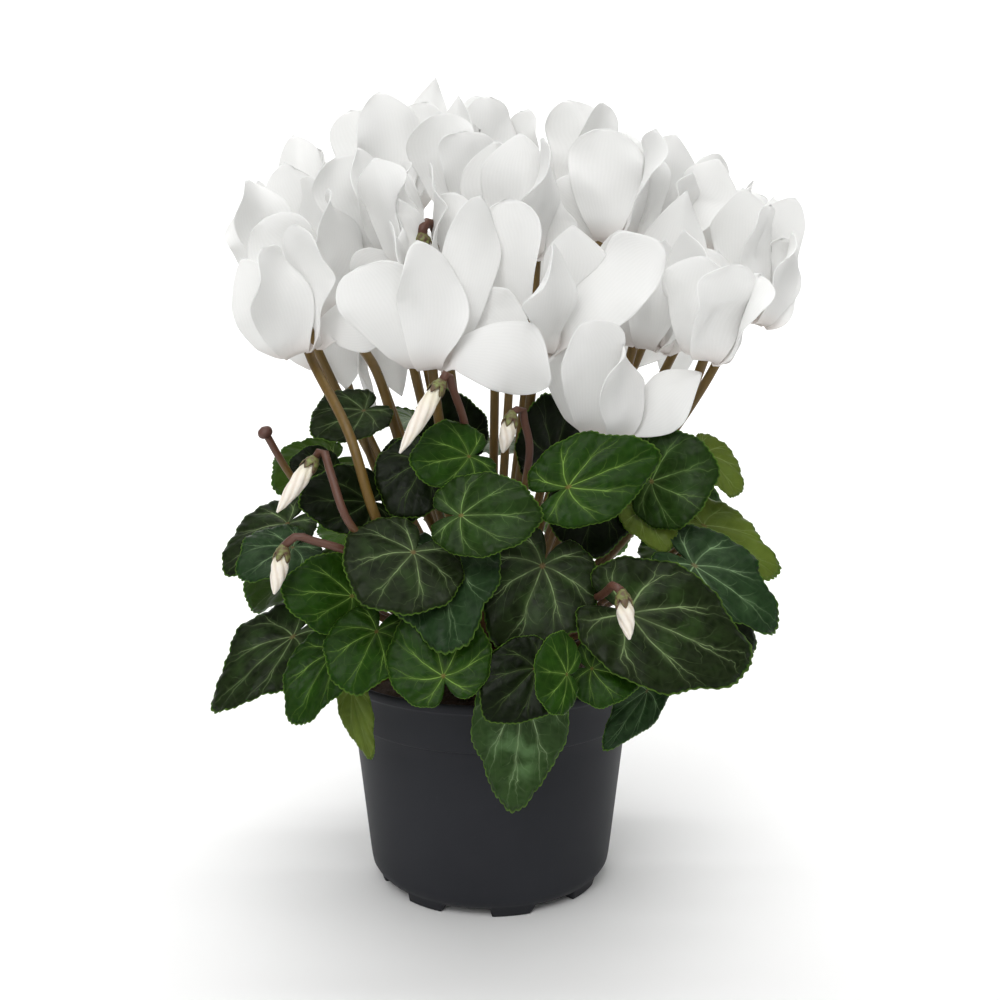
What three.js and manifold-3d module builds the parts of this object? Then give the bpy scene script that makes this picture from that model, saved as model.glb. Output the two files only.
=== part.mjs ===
// Potted white cyclamen: a dark nursery pot, soil, a tuber with its stalks, leaves, buds and flowers.
// Millimetres, +Z up. The photograph's camera looks along +Y, and +X is to its right.
// Every place below is given from the middle of the pot's base; the finished group is shifted as a
// whole, so that the origin lies under the middle of the plant's box, on the ground.
import * as THREE from 'three';
import { mergeVertices } from 'three/addons/utils/BufferGeometryUtils.js';
import Module from 'manifold-3d';

const wasm = await Module();
wasm.setup();

// ---- driving dimensions -------------------------------------------------------------------
const GAP = 0.35;              // clearance kept between neighbouring solids
const PLANT_SHIFT_X = -10.58;  // pot axis, measured from the middle of the plant's box
const PLANT_SHIFT_Y = -6.53;

const POT = {
  sides: 28,
  height: 92,
  rimRadius: 65,
  collarRadius: 60.6,
  collarHeight: 72,
  bodyTopRadius: 57.4,
  bodyBottomRadius: 50,
  wall: 1.6,
  footHeight: 4,
  footCount: 8,
  footTurn: 11,                // degrees from the front to the first foot, towards +X
  notchWidth: 19,
  drainLength: 9,
  drainWidth: 3.4,
};
const SOIL = { top: 82, rise: 3, lump: 1.1, sides: 20 };
const TUBER = { x: 0, y: 2, z: 82, radius: 23, height: 11 };

const STALK = {
  leaf: 1.35,
  leafEnd: 0.8,                // where it meets the blade
  leafSides: 3,
  flower: 1.9,
  flowerRise: 20,
  bud: 1.45,
  sides: 4,
};
const LEAF_THICK = 0.8;
const PETAL_THICK = 0.7;
const LEAF_POINTS = 14;        // points round a leaf's edge, every second one drawn in as a tooth
const LEAF_TOOTH = 0.035;
const SMALL_LEAF = 31.5;       // narrower leaves have no ring of points half way out
const LEAF_FACING = { side: 0.6, depth: 40, up: 0.45 };

// A flower hangs mouth down. Its tube is short; its petals start at the mouth and fold back up.
const BLOOM = {
  mouthRadius: 3,
  tubeRadius: 4.2,
  tubeLength: 8.5,
  fold: 8,                     // length of the petal that its fold at the mouth takes up
  foldRadius: 6.2,
  open: 5,                     // least opening of an unlisted petal, in degrees
  openSpread: 17,
  petalLength: 44,
  petalWidth: 28,
  twist: 42,
  upright: 300,                // height over the ground point that every flower's axis leans from
  stalkOffset: 8.6,            // from the flower's axis to the stalk that passes up beside it
  calyxRadius: 3.3,
  calyxLength: 2.8,
};

// ---- where the leaves are ------------------------------------------------------------------
// [name, joint with the leaf stalk, tip of the blade, width, roll in degrees, cup, arch, point]
// The blade faces outwards and up; roll turns it about its midrib, and the point says how far its
// edge is drawn in beside the tip.
const LEAVES = [
  ['01', [-26, -79, 152], [-40, -95, 136], 44, 0, 0.10, 0.10, 0.06],
  ['02', [-16, -72, 148], [-10, -101, 122], 42, 8, 0.06, 0.12, 0.14],
  ['03', [-49, -68, 134], [-73, -76, 138], 30, 0, 0.12, 0.10, 0.06],
  ['04', [-39, -80, 124], [-47, -96, 107], 31, 0, 0.14, 0.14, 0.04],
  ['05', [-15, -96, 113], [-21, -84, 134], 36, 0, 0.12, 0.06, 0.02],
  ['06', [-56, -66, 113], [-69, -79, 90], 26, 0, 0.12, 0.16, 0.10],
  ['07', [-75, -42, 112], [-103, -54, 86], 36, 0, 0.08, 0.16, 0.18],
  ['08', [-74, -44, 147], [-91, -58, 138], 30, 0, 0.10, 0.14, 0.10],
  ['09', [-80, -20, 152], [-103, -30, 134], 33, 0, 0.08, 0.12, 0.12],
  ['10', [-44, -54, 166], [-68, -66, 168], 28, 0, 0.10, 0.10, 0.06],
  ['11', [-47, -38, 198], [-64, -52, 189], 27, 0, 0.16, 0.10, 0.08],
  ['12', [-66, -10, 172], [-80, -14, 175], 20, 0, 0.10, 0.10, 0.06],
  ['13', [-23, -58, 181], [-32, -68, 162], 32, 0, 0.10, 0.16, 0.08],
  ['14', [-7, -66, 184], [-27, -78, 181], 29, 0, 0.14, 0.10, 0.10],
  ['15', [-9, -85, 166], [18, -91, 167], 30, 0, 0.12, 0.08, 0.04],
  ['16', [28, -72, 174], [60, -68, 186], 33, 0, 0.12, 0.08, 0.14],
  ['17', [60, -50, 173], [83, -56, 181], 40, 0, 0.08, 0.14, 0.10],
  ['18', [84, -22, 180], [97, -26, 164], 24, 0, 0.16, 0.10, 0.12],
  ['19', [75, -58, 143], [106, -64, 121], 36, 0, 0.10, 0.10, 0.20],
  ['20', [84, -24, 152], [114, -26, 132], 30, 0, 0.06, 0.10, 0.20],
  ['21', [49, -82, 131], [91, -83, 112], 46, 0, 0.08, 0.08, 0.10],
  ['22', [78, -44, 124], [102, -44, 108], 32, 0, 0.08, 0.10, 0.14],
  ['23', [19, -73, 146], [7, -88, 118], 45, 2, 0.06, 0.12, 0.12],
  ['24', [26, -104, 116], [15, -108, 119], 28, 0, 0.12, 0.08, 0.02],
  ['25', [36, -84, 112], [53, -86, 108], 26, 0, 0.12, 0.10, 0.10],
  ['26', [16, -94, 115], [-1, -101, 100], 28, 0, 0.08, 0.10, 0.10],
  ['27', [12, -85, 104], [8, -79, 57], 34, 0, 0.12, 0.04, 0.16],
  ['28', [-50, -63, 97], [-43, -66, 72], 13, 0, 0.20, 0.10, 0.14],
  ['29', [58, -62, 97], [41, -74, 79], 18, 0, 0.12, 0.12, 0.18],
  ['30', [-14, -16, 184], [-22, -26, 206], 31, 0, 0.10, 0.10, 0.08],
  ['31', [24, -26, 180], [18, -38, 204], 31, 0, 0.10, 0.10, 0.08],
  ['32', [57, -47, 161], [65, -57, 148], 22, 0, 0.10, 0.14, 0.10],
  ['33', [74, 8, 160], [102, 14, 146], 38, 0, 0.08, 0.12, 0.10],
  ['34', [56, 30, 178], [80, 44, 168], 36, 0, 0.10, 0.12, 0.10],
  ['35', [2, 62, 176], [2, 88, 166], 36, 0, 0.08, 0.12, 0.10],
  ['36', [-34, 50, 188], [-46, 74, 180], 34, 0, 0.10, 0.12, 0.10],
  ['37', [-68, 18, 172], [-92, 26, 158], 40, 0, 0.08, 0.12, 0.10],
  ['38', [82, 28, 132], [106, 38, 110], 46, 0, 0.08, 0.12, 0.10],
  ['39', [44, 72, 140], [58, 94, 116], 50, 0, 0.08, 0.12, 0.10],
  ['40', [-8, 82, 142], [-10, 104, 116], 50, 0, 0.08, 0.12, 0.10],
  ['41', [-54, 62, 138], [-72, 80, 114], 48, 0, 0.08, 0.12, 0.10],
  ['42', [-80, 22, 128], [-104, 30, 104], 44, 0, 0.08, 0.12, 0.10],
  ['43', [38, -46, 168], [35, -50, 143], 34, 0, 0.10, 0.10, 0.08],
  ['44', [-28, -44, 180], [-30, -52, 158], 30, 0, 0.10, 0.10, 0.08],
];

// ---- where the flowers are -----------------------------------------------------------------
// [name, middle of the mouth, turn of the stalk, petals], with turns in degrees round the flower's
// axis from +X towards +Y. Six places lie 60 degrees apart round the mouth: the stalk's, and then
// places 1 to 5 for petals. A petal is [place, turn away from it, opening from the axis, length,
// width, twist, and true where it is plain, with fewer points]; places that aren't listed get a
// plain petal by a seeded rule.
const BLOOMS = [
  ['01', [-69, -44, 222], 85, [[1, 10, 10, 38, 20, 60, true], [2, 10, 4, 42, 24, 60, true],
    [4, 25, 4, 49, 28, 60], [5, -35, 79, 40, 20, 60]]],
  ['02', [-59, -14, 235], 90, [[3, 55, -3, 52, 29, 60], [4, 10, 92, 27, 18, 60], [5, -30, 47, 31, 22, 60]]],
  ['03', [-84, 14, 250], 85, [[1, -25, -6, 47, 20, 60], [2, 15, 4, 35, 21, 60, true],
    [4, 15, 30, 43, 28, 60], [5, -15, 4, 50, 24, 60]]],
  ['04', [-67, 40, 257], 60, [[3, 10, 3, 60, 22, 20], [4, 0, 12, 50, 27, 20]]],
  ['05', [-39, 32, 277], 85, [[2, -5, 7, 50, 23, 60, true], [3, 10, 7, 53, 30, 15],
    [4, 5, 15, 49, 29, 60], [5, -15, 13, 62, 20, 65]]],
  ['06', [-44, 4, 255], 60, [[4, -15, 0, 50, 29, 15], [5, 5, 5, 45, 24, 60]]],
  ['07', [-6, 18, 275], 25, [[2, -5, -1, 55, 20, 65], [4, -10, 5, 37, 29, 15], [5, 10, 9, 31, 24, 60, true]]],
  ['08', [-21, -54, 217], 90, [[1, -20, 10, 56, 22, 30], [3, 25, -8, 50, 27, 15],
    [4, 15, 96, 45, 27, 60], [5, -5, 15, 64, 22, 60]]],
  ['09', [18, -46, 222], 95, [[1, 15, 5, 58, 28, 65], [2, -35, 46, 35, 22, 60],
    [4, 20, 37, 58, 32, 60], [5, -15, -1, 50, 24, 60]]],
  ['10', [63, -12, 222], 130, [[2, -5, -6, 46, 25, 15], [5, 0, -2, 67, 28, 20]]],
  ['11', [43, -45, 191], 55, [[2, 5, 16, 40, 22, 60], [4, -25, -7, 40, 27, 15], [5, 0, 38, 41, 26, 30]]],
  ['12', [79, -50, 220], 80, [[2, -5, 7, 39, 25, 15], [3, 0, 4, 40, 27, 30, true],
    [4, 0, 0, 38, 25, 30, true], [5, 10, -8, 35, 19, 20]]],
  ['13', [105, -2, 233], 120, [[1, 15, 17, 53, 25, 60], [2, -20, 7, 48, 23, 60],
    [3, 5, -4, 42, 22, 20, true], [4, -5, -14, 40, 22, 60, true], [5, 25, -8, 56, 22, 20]]],
  ['14', [99, 34, 261], 100, [[2, 0, 16, 34, 28, 60, true], [3, 0, 8, 35, 26, 30, true],
    [4, 0, 8, 34, 26, 60, true], [5, 0, 8, 36, 26, 60, true]]],
  ['15', [73, 16, 269], 45, [[2, 0, 10, 38, 26, 60, true], [3, -10, -5, 43, 29, 60, true],
    [4, 0, 3, 28, 18, 30, true], [5, 0, 8, 37, 26, 60, true]]],
  ['16', [49, 4, 264], 65, [[2, 10, 52, 32, 24, 60], [3, -15, 4, 47, 30, 15], [5, 15, -6, 46, 24, 60]]],
  ['17', [43, 50, 284], 30, [[3, 10, 11, 46, 27, 60, true],
    [4, -5, 9, 44, 22, 20, true], [5, 0, 8, 36, 24, 60, true]]],
  ['18', [13, -10, 258], 50, [[3, 20, -1, 50, 30, 15], [5, -5, 4, 30, 24, 60, true]]],
  ['20', [4, 54, 289], 25, [[4, -5, 7, 43, 29, 15, true], [5, 5, 11, 39, 24, 60, true]]],
  ['19', [-44, 28, 233], 25, [[1, -10, -158, 44, 22, 20], [2, 30, 142, 40, 22, 20],
    [3, -30, 162, 49, 22, 20]]],
  ['25', [-24, -30, 252], 55, [[3, -25, -5, 31, 20, 60], [4, 45, -4, 43, 24, 60], [5, -5, 11, 32, 20, 60]]],
  ['21', [-26, 80, 238], -80, []],
  ['22', [24, 90, 228], -100, []],
  ['23', [70, 72, 236], -130, [[1, -10, 150, 42, 26, 20, true], [2, 0, 150, 40, 24, 20, true]]],
  ['24', [-74, 58, 214], -40, []],
];

// ---- buds: [name, calyx, tip of the bud, middle of the hook, point lower on the stalk] ----------
const BUDS = [
  ['1', [-17, -76, 209], [-30, -82, 187], [-14, -75, 214], [-9, -60, 197]],
  ['2', [-62, -70, 182], [-73, -78, 166], [-58, -70, 187], [-49, -78, 164]],
  ['3', [-71, -80, 152], [-74, -82, 138], [-66, -80, 158], [-51, -77, 153]],
  ['4', [8, -52, 196], [5, -54, 184], [12, -50, 200], [15, -46, 186]],
  ['5', [45, -98, 140], [47, -101, 127], [42, -95, 144], [39, -80, 137]],
];
const SPENT = [[-85, -30, 188], [-77, -26, 172]];

// Flower stalks that pass in front of leaves: the places that they go through on their way up.
const STALK_WAYS = {
  '01': [[-38, -62, 156], [-50, -60, 192]],
  '02': [[-31, -26, 172], [-36, -28, 190], [-43, -30, 213]],
};

// ---- small helpers ---------------------------------------------------------------------------
const V = (a) => new THREE.Vector3(a[0], a[1], a[2]);
const UP = new THREE.Vector3(0, 0, 1);
const rad = THREE.MathUtils.degToRad;

// A repeatable draw between 0 and 1 from a whole number.
function draw(index) {
  const value = Math.sin(index * 12.9898 + 4.1414) * 43758.5453;
  return value - Math.floor(value);
}

// A closed solid for the boolean library, from any closed three.js geometry.
function solid(geometry) {
  const bare = geometry.clone();
  bare.deleteAttribute('normal');
  bare.deleteAttribute('uv');
  const merged = mergeVertices(bare, 1e-4);
  const mesh = new wasm.Mesh({
    numProp: 3,
    vertProperties: Float32Array.from(merged.attributes.position.array),
    triVerts: Uint32Array.from(merged.index.array),
  });
  return new wasm.Manifold(mesh);
}

// The geometry of a solid, for a three.js mesh.
function geometryOf(body) {
  const mesh = body.getMesh();
  const geometry = new THREE.BufferGeometry();
  geometry.setAttribute('position', new THREE.BufferAttribute(mesh.vertProperties, 3));
  geometry.setIndex(new THREE.BufferAttribute(mesh.triVerts, 1));
  geometry.computeVertexNormals();
  return geometry;
}

function unite(bodies) {
  let all = bodies[0];
  for (const body of bodies.slice(1)) all = all.add(body);
  return all;
}

// The largest piece of a solid that a cut may have parted.
function largest(body) {
  const pieces = body.decompose();
  pieces.sort((a, b) => b.volume() - a.volume());
  return pieces[0];
}

// An open patch of triangles made a plate: the same triangles again below it, and a rim between.
function plate(points, faces, thickness) {
  const normals = points.map(() => new THREE.Vector3());
  for (const [a, b, c] of faces) {
    const ab = points[b].clone().sub(points[a]);
    const ac = points[c].clone().sub(points[a]);
    const n = ab.cross(ac);
    for (const i of [a, b, c]) normals[i].add(n);
  }
  const count = points.length;
  const lower = points.map((p, i) => p.clone().addScaledVector(normals[i].normalize(), -thickness));
  const edges = new Map();
  for (const [a, b, c] of faces) {
    for (const [i, j] of [[a, b], [b, c], [c, a]]) edges.set(`${i},${j}`, [i, j]);
  }
  const index = [];
  for (const [a, b, c] of faces) {
    index.push(a, b, c);
    index.push(c + count, b + count, a + count);
  }
  for (const [i, j] of edges.values()) {
    if (edges.has(`${j},${i}`)) continue;
    index.push(j, i, i + count);
    index.push(j, i + count, j + count);
  }
  const geometry = new THREE.BufferGeometry();
  const flat = [...points, ...lower].flatMap((p) => [p.x, p.y, p.z]);
  geometry.setAttribute('position', new THREE.Float32BufferAttribute(flat, 3));
  geometry.setIndex(index);
  return geometry;
}

// A closed tube through a list of points: a ring of vertices at each, and a cap at both ends.
function tube(points, radii, sides, start) {
  const flat = [];
  const index = [];
  let across = start ? start.clone() : null;
  points.forEach((point, k) => {
    const before = points[Math.max(k - 1, 0)];
    const after = points[Math.min(k + 1, points.length - 1)];
    const along = after.clone().sub(before).normalize();
    if (!across) across = Math.abs(along.z) > 0.9 ? new THREE.Vector3(1, 0, 0) : UP.clone();
    across = across.clone().addScaledVector(along, -across.dot(along)).normalize();
    const third = along.clone().cross(across);
    for (let j = 0; j < sides; j += 1) {
      const angle = (2 * Math.PI * j) / sides;
      const p = point.clone();
      p.addScaledVector(across, radii[k] * Math.cos(angle));
      p.addScaledVector(third, radii[k] * Math.sin(angle));
      flat.push(p.x, p.y, p.z);
    }
  });
  for (let k = 0; k + 1 < points.length; k += 1) {
    for (let j = 0; j < sides; j += 1) {
      const a = k * sides + j;
      const b = k * sides + ((j + 1) % sides);
      index.push(a, b, b + sides);
      index.push(a, b + sides, a + sides);
    }
  }
  const last = (points.length - 1) * sides;
  for (let j = 1; j + 1 < sides; j += 1) {
    index.push(0, j + 1, j);
    index.push(last, last + j, last + j + 1);
  }
  const geometry = new THREE.BufferGeometry();
  geometry.setAttribute('position', new THREE.Float32BufferAttribute(flat, 3));
  geometry.setIndex(index);
  return geometry;
}

// ---- pot and soil --------------------------------------------------------------------------
function turned(profile, sides) {
  const points = profile.map(([r, z]) => new THREE.Vector2(r, z));
  const geometry = new THREE.LatheGeometry(points, sides);
  geometry.rotateX(Math.PI / 2);
  return solid(geometry);
}

function potSolid() {
  const p = POT;
  const inside = p.bodyBottomRadius - p.wall;
  const profile = [
    [0, p.footHeight],
    [p.bodyBottomRadius - 8, p.footHeight],
    [p.bodyBottomRadius - 8, 0],
    [p.bodyBottomRadius - 3.5, 0],
    [p.bodyBottomRadius - 2.5, p.footHeight],
    [p.bodyBottomRadius + 0.4, p.footHeight + 4],
    [p.bodyTopRadius, p.collarHeight],
    [p.collarRadius, p.collarHeight],
    [p.collarRadius + 3, p.height - 4],
    [p.rimRadius, p.height - 3.5],
    [p.rimRadius, p.height],
    [p.rimRadius - 2, p.height],
    [p.collarRadius - p.wall, p.collarHeight + 2],
    [p.bodyTopRadius - p.wall, p.collarHeight - 1],
    [inside, p.footHeight + 5],
    [inside - 3, p.footHeight + p.wall],
    [0, p.footHeight + p.wall],
  ];
  let body = turned(profile, p.sides);
  for (let k = 0; k < p.footCount; k += 1) {
    const turn = rad(p.footTurn + (360 / p.footCount) * (k + 0.5) - 90);
    const notch = new THREE.BoxGeometry(16, p.notchWidth, 2 * p.footHeight);
    notch.translate(p.bodyBottomRadius - 5, 0, 0);
    notch.rotateZ(turn);
    body = body.subtract(solid(notch));
    const drain = new THREE.BoxGeometry(p.drainLength, p.drainWidth, 8 * p.wall);
    drain.translate(p.bodyBottomRadius - 17, 0, p.footHeight);
    drain.rotateZ(turn);
    body = body.subtract(solid(drain));
  }
  return body;
}

function tuberGeometry(extra) {
  const geometry = new THREE.SphereGeometry(1, 10, 5);
  geometry.rotateX(Math.PI / 2);
  geometry.scale(TUBER.radius + extra, TUBER.radius + extra, TUBER.height + extra);
  geometry.translate(TUBER.x, TUBER.y, TUBER.z);
  return geometry;
}

function soilSolid() {
  const p = POT;
  const slope = (p.collarRadius + 3 - p.collarRadius) / (p.height - 4 - p.collarHeight);
  const topRadius = p.collarRadius - p.wall + slope * (SOIL.top - p.collarHeight) - 1;
  const profile = [
    [0, p.footHeight + p.wall + GAP],
    [p.bodyBottomRadius - p.wall - 3.6, p.footHeight + p.wall + GAP],
    [p.bodyBottomRadius - p.wall - 0.5, p.footHeight + 5.6],
    [p.bodyTopRadius - p.wall - 0.6, p.collarHeight - 1],
    [p.collarRadius - p.wall - 0.8, p.collarHeight + 2.6],
    [topRadius, SOIL.top],
    [0.6 * topRadius, SOIL.top],
    [0, SOIL.top],
  ];
  const points = profile.map(([r, z]) => new THREE.Vector2(r, z));
  const geometry = new THREE.LatheGeometry(points, SOIL.sides);
  geometry.rotateX(Math.PI / 2);
  const at = geometry.attributes.position;
  for (let i = 0; i < at.count; i += 1) {
    const radius = Math.hypot(at.getX(i), at.getY(i));
    if (at.getZ(i) < SOIL.top - 1e-3 || radius > topRadius - 1) continue;
    const lump = SOIL.lump * Math.sin(0.31 * at.getX(i)) * Math.cos(0.27 * at.getY(i) + 1);
    at.setZ(i, SOIL.top + SOIL.rise * (1 - radius / topRadius) + lump);
  }
  return solid(geometry).subtract(solid(tuberGeometry(GAP)));
}

// ---- leaves ----------------------------------------------------------------------------------
// Heart outline round the leaf stalk's joint. The distance from the joint to the edge is
// 0.5 + 0.14 cos a + 0.04 cos 2a for the angle a from the tip. It is drawn in beside the tip by the
// point, a little behind the joint, and to a notch at a = 180.
function heartRadius(a, point) {
  const round = (0.5 + 0.14 * Math.cos(a) + 0.04 * Math.cos(2 * a)) / 0.68;
  const besideTip = point * Math.exp(-(((Math.abs(a) - 0.62) / 0.36) ** 2));
  const fromNotch = Math.PI - Math.abs(a);
  const behind = 0.36 * Math.exp(-((fromNotch / 0.85) ** 2));
  const notch = 0.86 * Math.exp(-((fromNotch / 0.24) ** 2));
  return round * (1 - besideTip) * (1 - behind) * (1 - notch);
}
const HEART_WIDTH = 1.43;      // width of that outline, where its joint to tip is 1

function leafFrame([, joint, tip, , roll]) {
  const along = V(tip).sub(V(joint));
  const length = along.length();
  along.normalize();
  const depth = joint[1] + (joint[1] < 10 ? -LEAF_FACING.depth : LEAF_FACING.depth);
  const facing = new THREE.Vector3(LEAF_FACING.side * joint[0], depth, 0).normalize();
  facing.addScaledVector(UP, LEAF_FACING.up);
  const normal = facing.addScaledVector(along, -facing.dot(along)).normalize();
  normal.applyAxisAngle(along, rad(roll));
  return { origin: V(joint), along, across: normal.clone().cross(along), normal, length };
}

// Height of the blade over its joint's plane, at the place (t, s) in joint-to-tip lengths: the
// midrib arches between the joint and the tip, the two halves rise from it as a shallow trough and
// fall again towards the edge, and the edge waves.
function bladeHeight(t, s, leaf) {
  const [, , , , , cup, arch] = leaf;
  const edge = t * t + s * s;
  const wave = 0.05 * edge * Math.sin(5 * Math.atan2(s, t) + 7 * draw(Number(leaf[0])));
  const midrib = t > 0 ? 2 * arch * t * (1 - t) : 0.4 * arch * t;
  return cup * Math.abs(s) - 0.7 * cup * s * s + midrib + wave;
}

function leafGeometry(leaf) {
  const frame = leafFrame(leaf);
  const widen = leaf[3] / (HEART_WIDTH * frame.length);
  const place = (t, s) => frame.origin.clone()
    .addScaledVector(frame.along, frame.length * t)
    .addScaledVector(frame.across, frame.length * s)
    .addScaledVector(frame.normal, frame.length * bladeHeight(t, s, leaf));
  const half = LEAF_POINTS / 2;
  const points = [place(0, 0)];
  const ring = (share, count, tooth) => {
    for (let k = 0; k < count; k += 1) {
      const a = Math.PI * ((2 * k) / count - 1);
      const r = share * (1 + (k % 2 ? tooth : -tooth)) * heartRadius(a, leaf[7]);
      points.push(place(r * Math.cos(a), widen * r * Math.sin(a)));
    }
  };
  const faces = [];
  if (leaf[3] < SMALL_LEAF) {
    ring(1, LEAF_POINTS, LEAF_TOOTH);
    for (let k = 0; k < LEAF_POINTS; k += 1) faces.push([0, 1 + k, 1 + ((k + 1) % LEAF_POINTS)]);
    return plate(points, faces, LEAF_THICK);
  }
  ring(0.55, half, 0);
  ring(1, LEAF_POINTS, LEAF_TOOTH);
  for (let k = 0; k < half; k += 1) {
    const a = 1 + k;
    const b = 1 + ((k + 1) % half);
    const outer = 1 + half + 2 * k;
    const after = 1 + half + ((2 * k + 2) % LEAF_POINTS);
    faces.push([0, a, b], [a, outer, outer + 1], [a, outer + 1, b], [b, outer + 1, after]);
  }
  return plate(points, faces, LEAF_THICK);
}

// ---- flowers -----------------------------------------------------------------------------------
// The flower's frame: its axis leans away from the plant's middle, and turns are counted from `east`.
function bloomFrame([, mouth]) {
  const axis = new THREE.Vector3(mouth[0], mouth[1], BLOOM.upright).normalize();
  const east = new THREE.Vector3(1, 0, 0).addScaledVector(axis, -axis.x).normalize();
  const north = axis.clone().cross(east);
  const towards = (degrees) => east.clone().multiplyScalar(Math.cos(rad(degrees)))
    .addScaledVector(north, Math.sin(rad(degrees)));
  const at = (side, r, z) => V(mouth).addScaledVector(side, r).addScaledVector(axis, z);
  return { axis, towards, at };
}

// The petals of a flower, as [root, turn, opening, length, width, twist, whether it is plain].
function petalList([name, , stalkTurn, given]) {
  return [1, 2, 3, 4, 5].map((place) => {
    const root = stalkTurn + 60 * place;
    const own = given.find((petal) => petal[0] === place);
    if (own) return [root, root + own[1], ...own.slice(2)];
    const seed = 10 * Number(name) + place;
    const open = BLOOM.open + BLOOM.openSpread * draw(seed);
    const length = BLOOM.petalLength + 6 * draw(seed + 0.3);
    const width = BLOOM.petalWidth + 3 * draw(seed + 0.6);
    return [root, root, open, length, width, BLOOM.twist, true];
  });
}

// A petal's middle line leaves the mouth outwards and down, folds back in a small arc and runs out
// along its own turn and opening.
function petalLine(frame, [root, turn, open, length]) {
  const from = frame.towards(root);
  const to = frame.towards(turn);
  const lean = rad(open);
  const reach = length - BLOOM.fold;
  const r = BLOOM.mouthRadius + BLOOM.foldRadius;
  const middle = frame.at(to, r + 0.5 * reach * Math.sin(lean), 2 + 0.5 * reach * Math.cos(lean));
  middle.addScaledVector(from, 1.5);
  return new THREE.CatmullRomCurve3([
    frame.at(from, BLOOM.mouthRadius, 1),
    frame.at(from, BLOOM.mouthRadius + 0.55 * BLOOM.foldRadius, -1.6),
    frame.at(from, r + 2 * Math.sin(lean), 2.5 + 2 * Math.cos(lean)),
    middle,
    frame.at(to, r + reach * Math.sin(1.1 * lean), 2 + reach * Math.cos(1.1 * lean)),
  ]);
}

// [share of the length, half width as a share of the width, number of points across]
const PETAL_ROWS = [[0, 0, 1], [0.3, 0.3, 3], [0.72, 0.5, 3], [1, 0.2, 2]];
const PLAIN_ROWS = [[0, 0, 1], [0.64, 0.48, 3], [1, 0.22, 2]];

function petalGeometry(frame, petal, seed) {
  const [root, , , , width, twist, plain] = petal;
  const rows = plain ? PLAIN_ROWS : PETAL_ROWS;
  const line = petalLine(frame, petal);
  const around = frame.axis.clone().cross(frame.towards(root));
  const points = [];
  const starts = [];
  rows.forEach(([share, half, count]) => {
    const p = line.getPointAt(share);
    const along = line.getTangentAt(share);
    const across = around.clone().addScaledVector(along, -around.dot(along)).normalize();
    across.applyAxisAngle(along, rad(twist * Math.min(1, 4 * share)));
    const normal = across.clone().cross(along);
    starts.push(points.length);
    for (let j = 0; j < count; j += 1) {
      const w = count === 1 ? 0 : (2 * j) / (count - 1) - 1;
      const cup = 0.32 * width * half * w * w * (1 - 0.5 * share);
      const wave = 0.06 * width * share * w * Math.sin(9 * share + 6 * draw(seed));
      const q = p.clone().addScaledVector(across, half * width * w);
      points.push(q.addScaledVector(normal, cup + wave));
    }
  });
  const [a, b] = starts;
  const c = starts[starts.length - 2];
  const d = starts[starts.length - 1];
  const faces = [[a, b, b + 1], [a, b + 1, b + 2]];
  if (!plain) faces.push([b, c, c + 1], [b, c + 1, b + 1], [b + 1, c + 1, c + 2], [b + 1, c + 2, b + 2]);
  faces.push([c, d, c + 1], [c + 1, d, d + 1], [c + 1, d + 1, c + 2]);
  return plate(points, faces, PETAL_THICK);
}

function bloomSolid(bloom) {
  const frame = bloomFrame(bloom);
  const ring = (z) => frame.at(frame.axis, 0, z);
  const radii = [BLOOM.tubeRadius, 0.85 * BLOOM.tubeRadius];
  const core = tube([ring(-0.4), ring(BLOOM.tubeLength)], radii, 6, frame.towards(bloom[2] + 30));
  const seed = 10 * Number(bloom[0]);
  const petals = petalList(bloom).map((petal, order) => petalGeometry(frame, petal, seed + order));
  return unite([core, ...petals].map(solid));
}

// ---- stalks ------------------------------------------------------------------------------------
// Every stalk leaves the tuber's crown on the side that it goes to, leaf stalks further out.
function crown(target, share, least) {
  const away = new THREE.Vector3(target.x - TUBER.x, target.y - TUBER.y, 0);
  const reach = Math.min(TUBER.radius - 3, share * away.length() + least);
  away.normalize().multiplyScalar(reach);
  const drop = TUBER.height * Math.sqrt(1 - (reach / TUBER.radius) ** 2);
  return new THREE.Vector3(TUBER.x + away.x, TUBER.y + away.y, TUBER.z + drop - 2);
}
const leafRoot = (target) => crown(target, 0.16, 5);
const flowerRoot = (target) => crown(target, 0.12, 1);

// A stalk's path: up from the crown, then arriving at its end along a given vector.
function sweep(from, to, arrive, rise, steps) {
  const middle = from.clone().lerp(to, 0.25).addScaledVector(UP, rise);
  const curve = new THREE.CubicBezierCurve3(from, middle, to.clone().addScaledVector(arrive, -1), to);
  return curve.getSpacedPoints(steps);
}

function leafStalk(leaf) {
  const frame = leafFrame(leaf);
  const end = frame.origin.clone().addScaledVector(frame.along, 1.6)
    .addScaledVector(frame.normal, -LEAF_THICK - GAP - 0.15);
  const root = leafRoot(end);
  const arrive = frame.normal.clone().multiplyScalar(0.25 * end.distanceTo(root));
  const points = sweep(root, end, arrive, 14, 2);
  const radii = points.map((_, k) => (k + 1 < points.length ? STALK.leaf : STALK.leafEnd));
  return [points, radii, STALK.leafSides];
}

// The last rings of a flower's or a bud's stalk widen into the calyx.
function withCalyx(points, radius, end, axis, calyxRadius) {
  const at = (z) => end.clone().addScaledVector(axis, z);
  const radii = [...points.map(() => radius), 0.6 * calyxRadius, calyxRadius];
  return [[...points, at(BLOOM.calyxLength), at(0)], radii];
}

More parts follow.
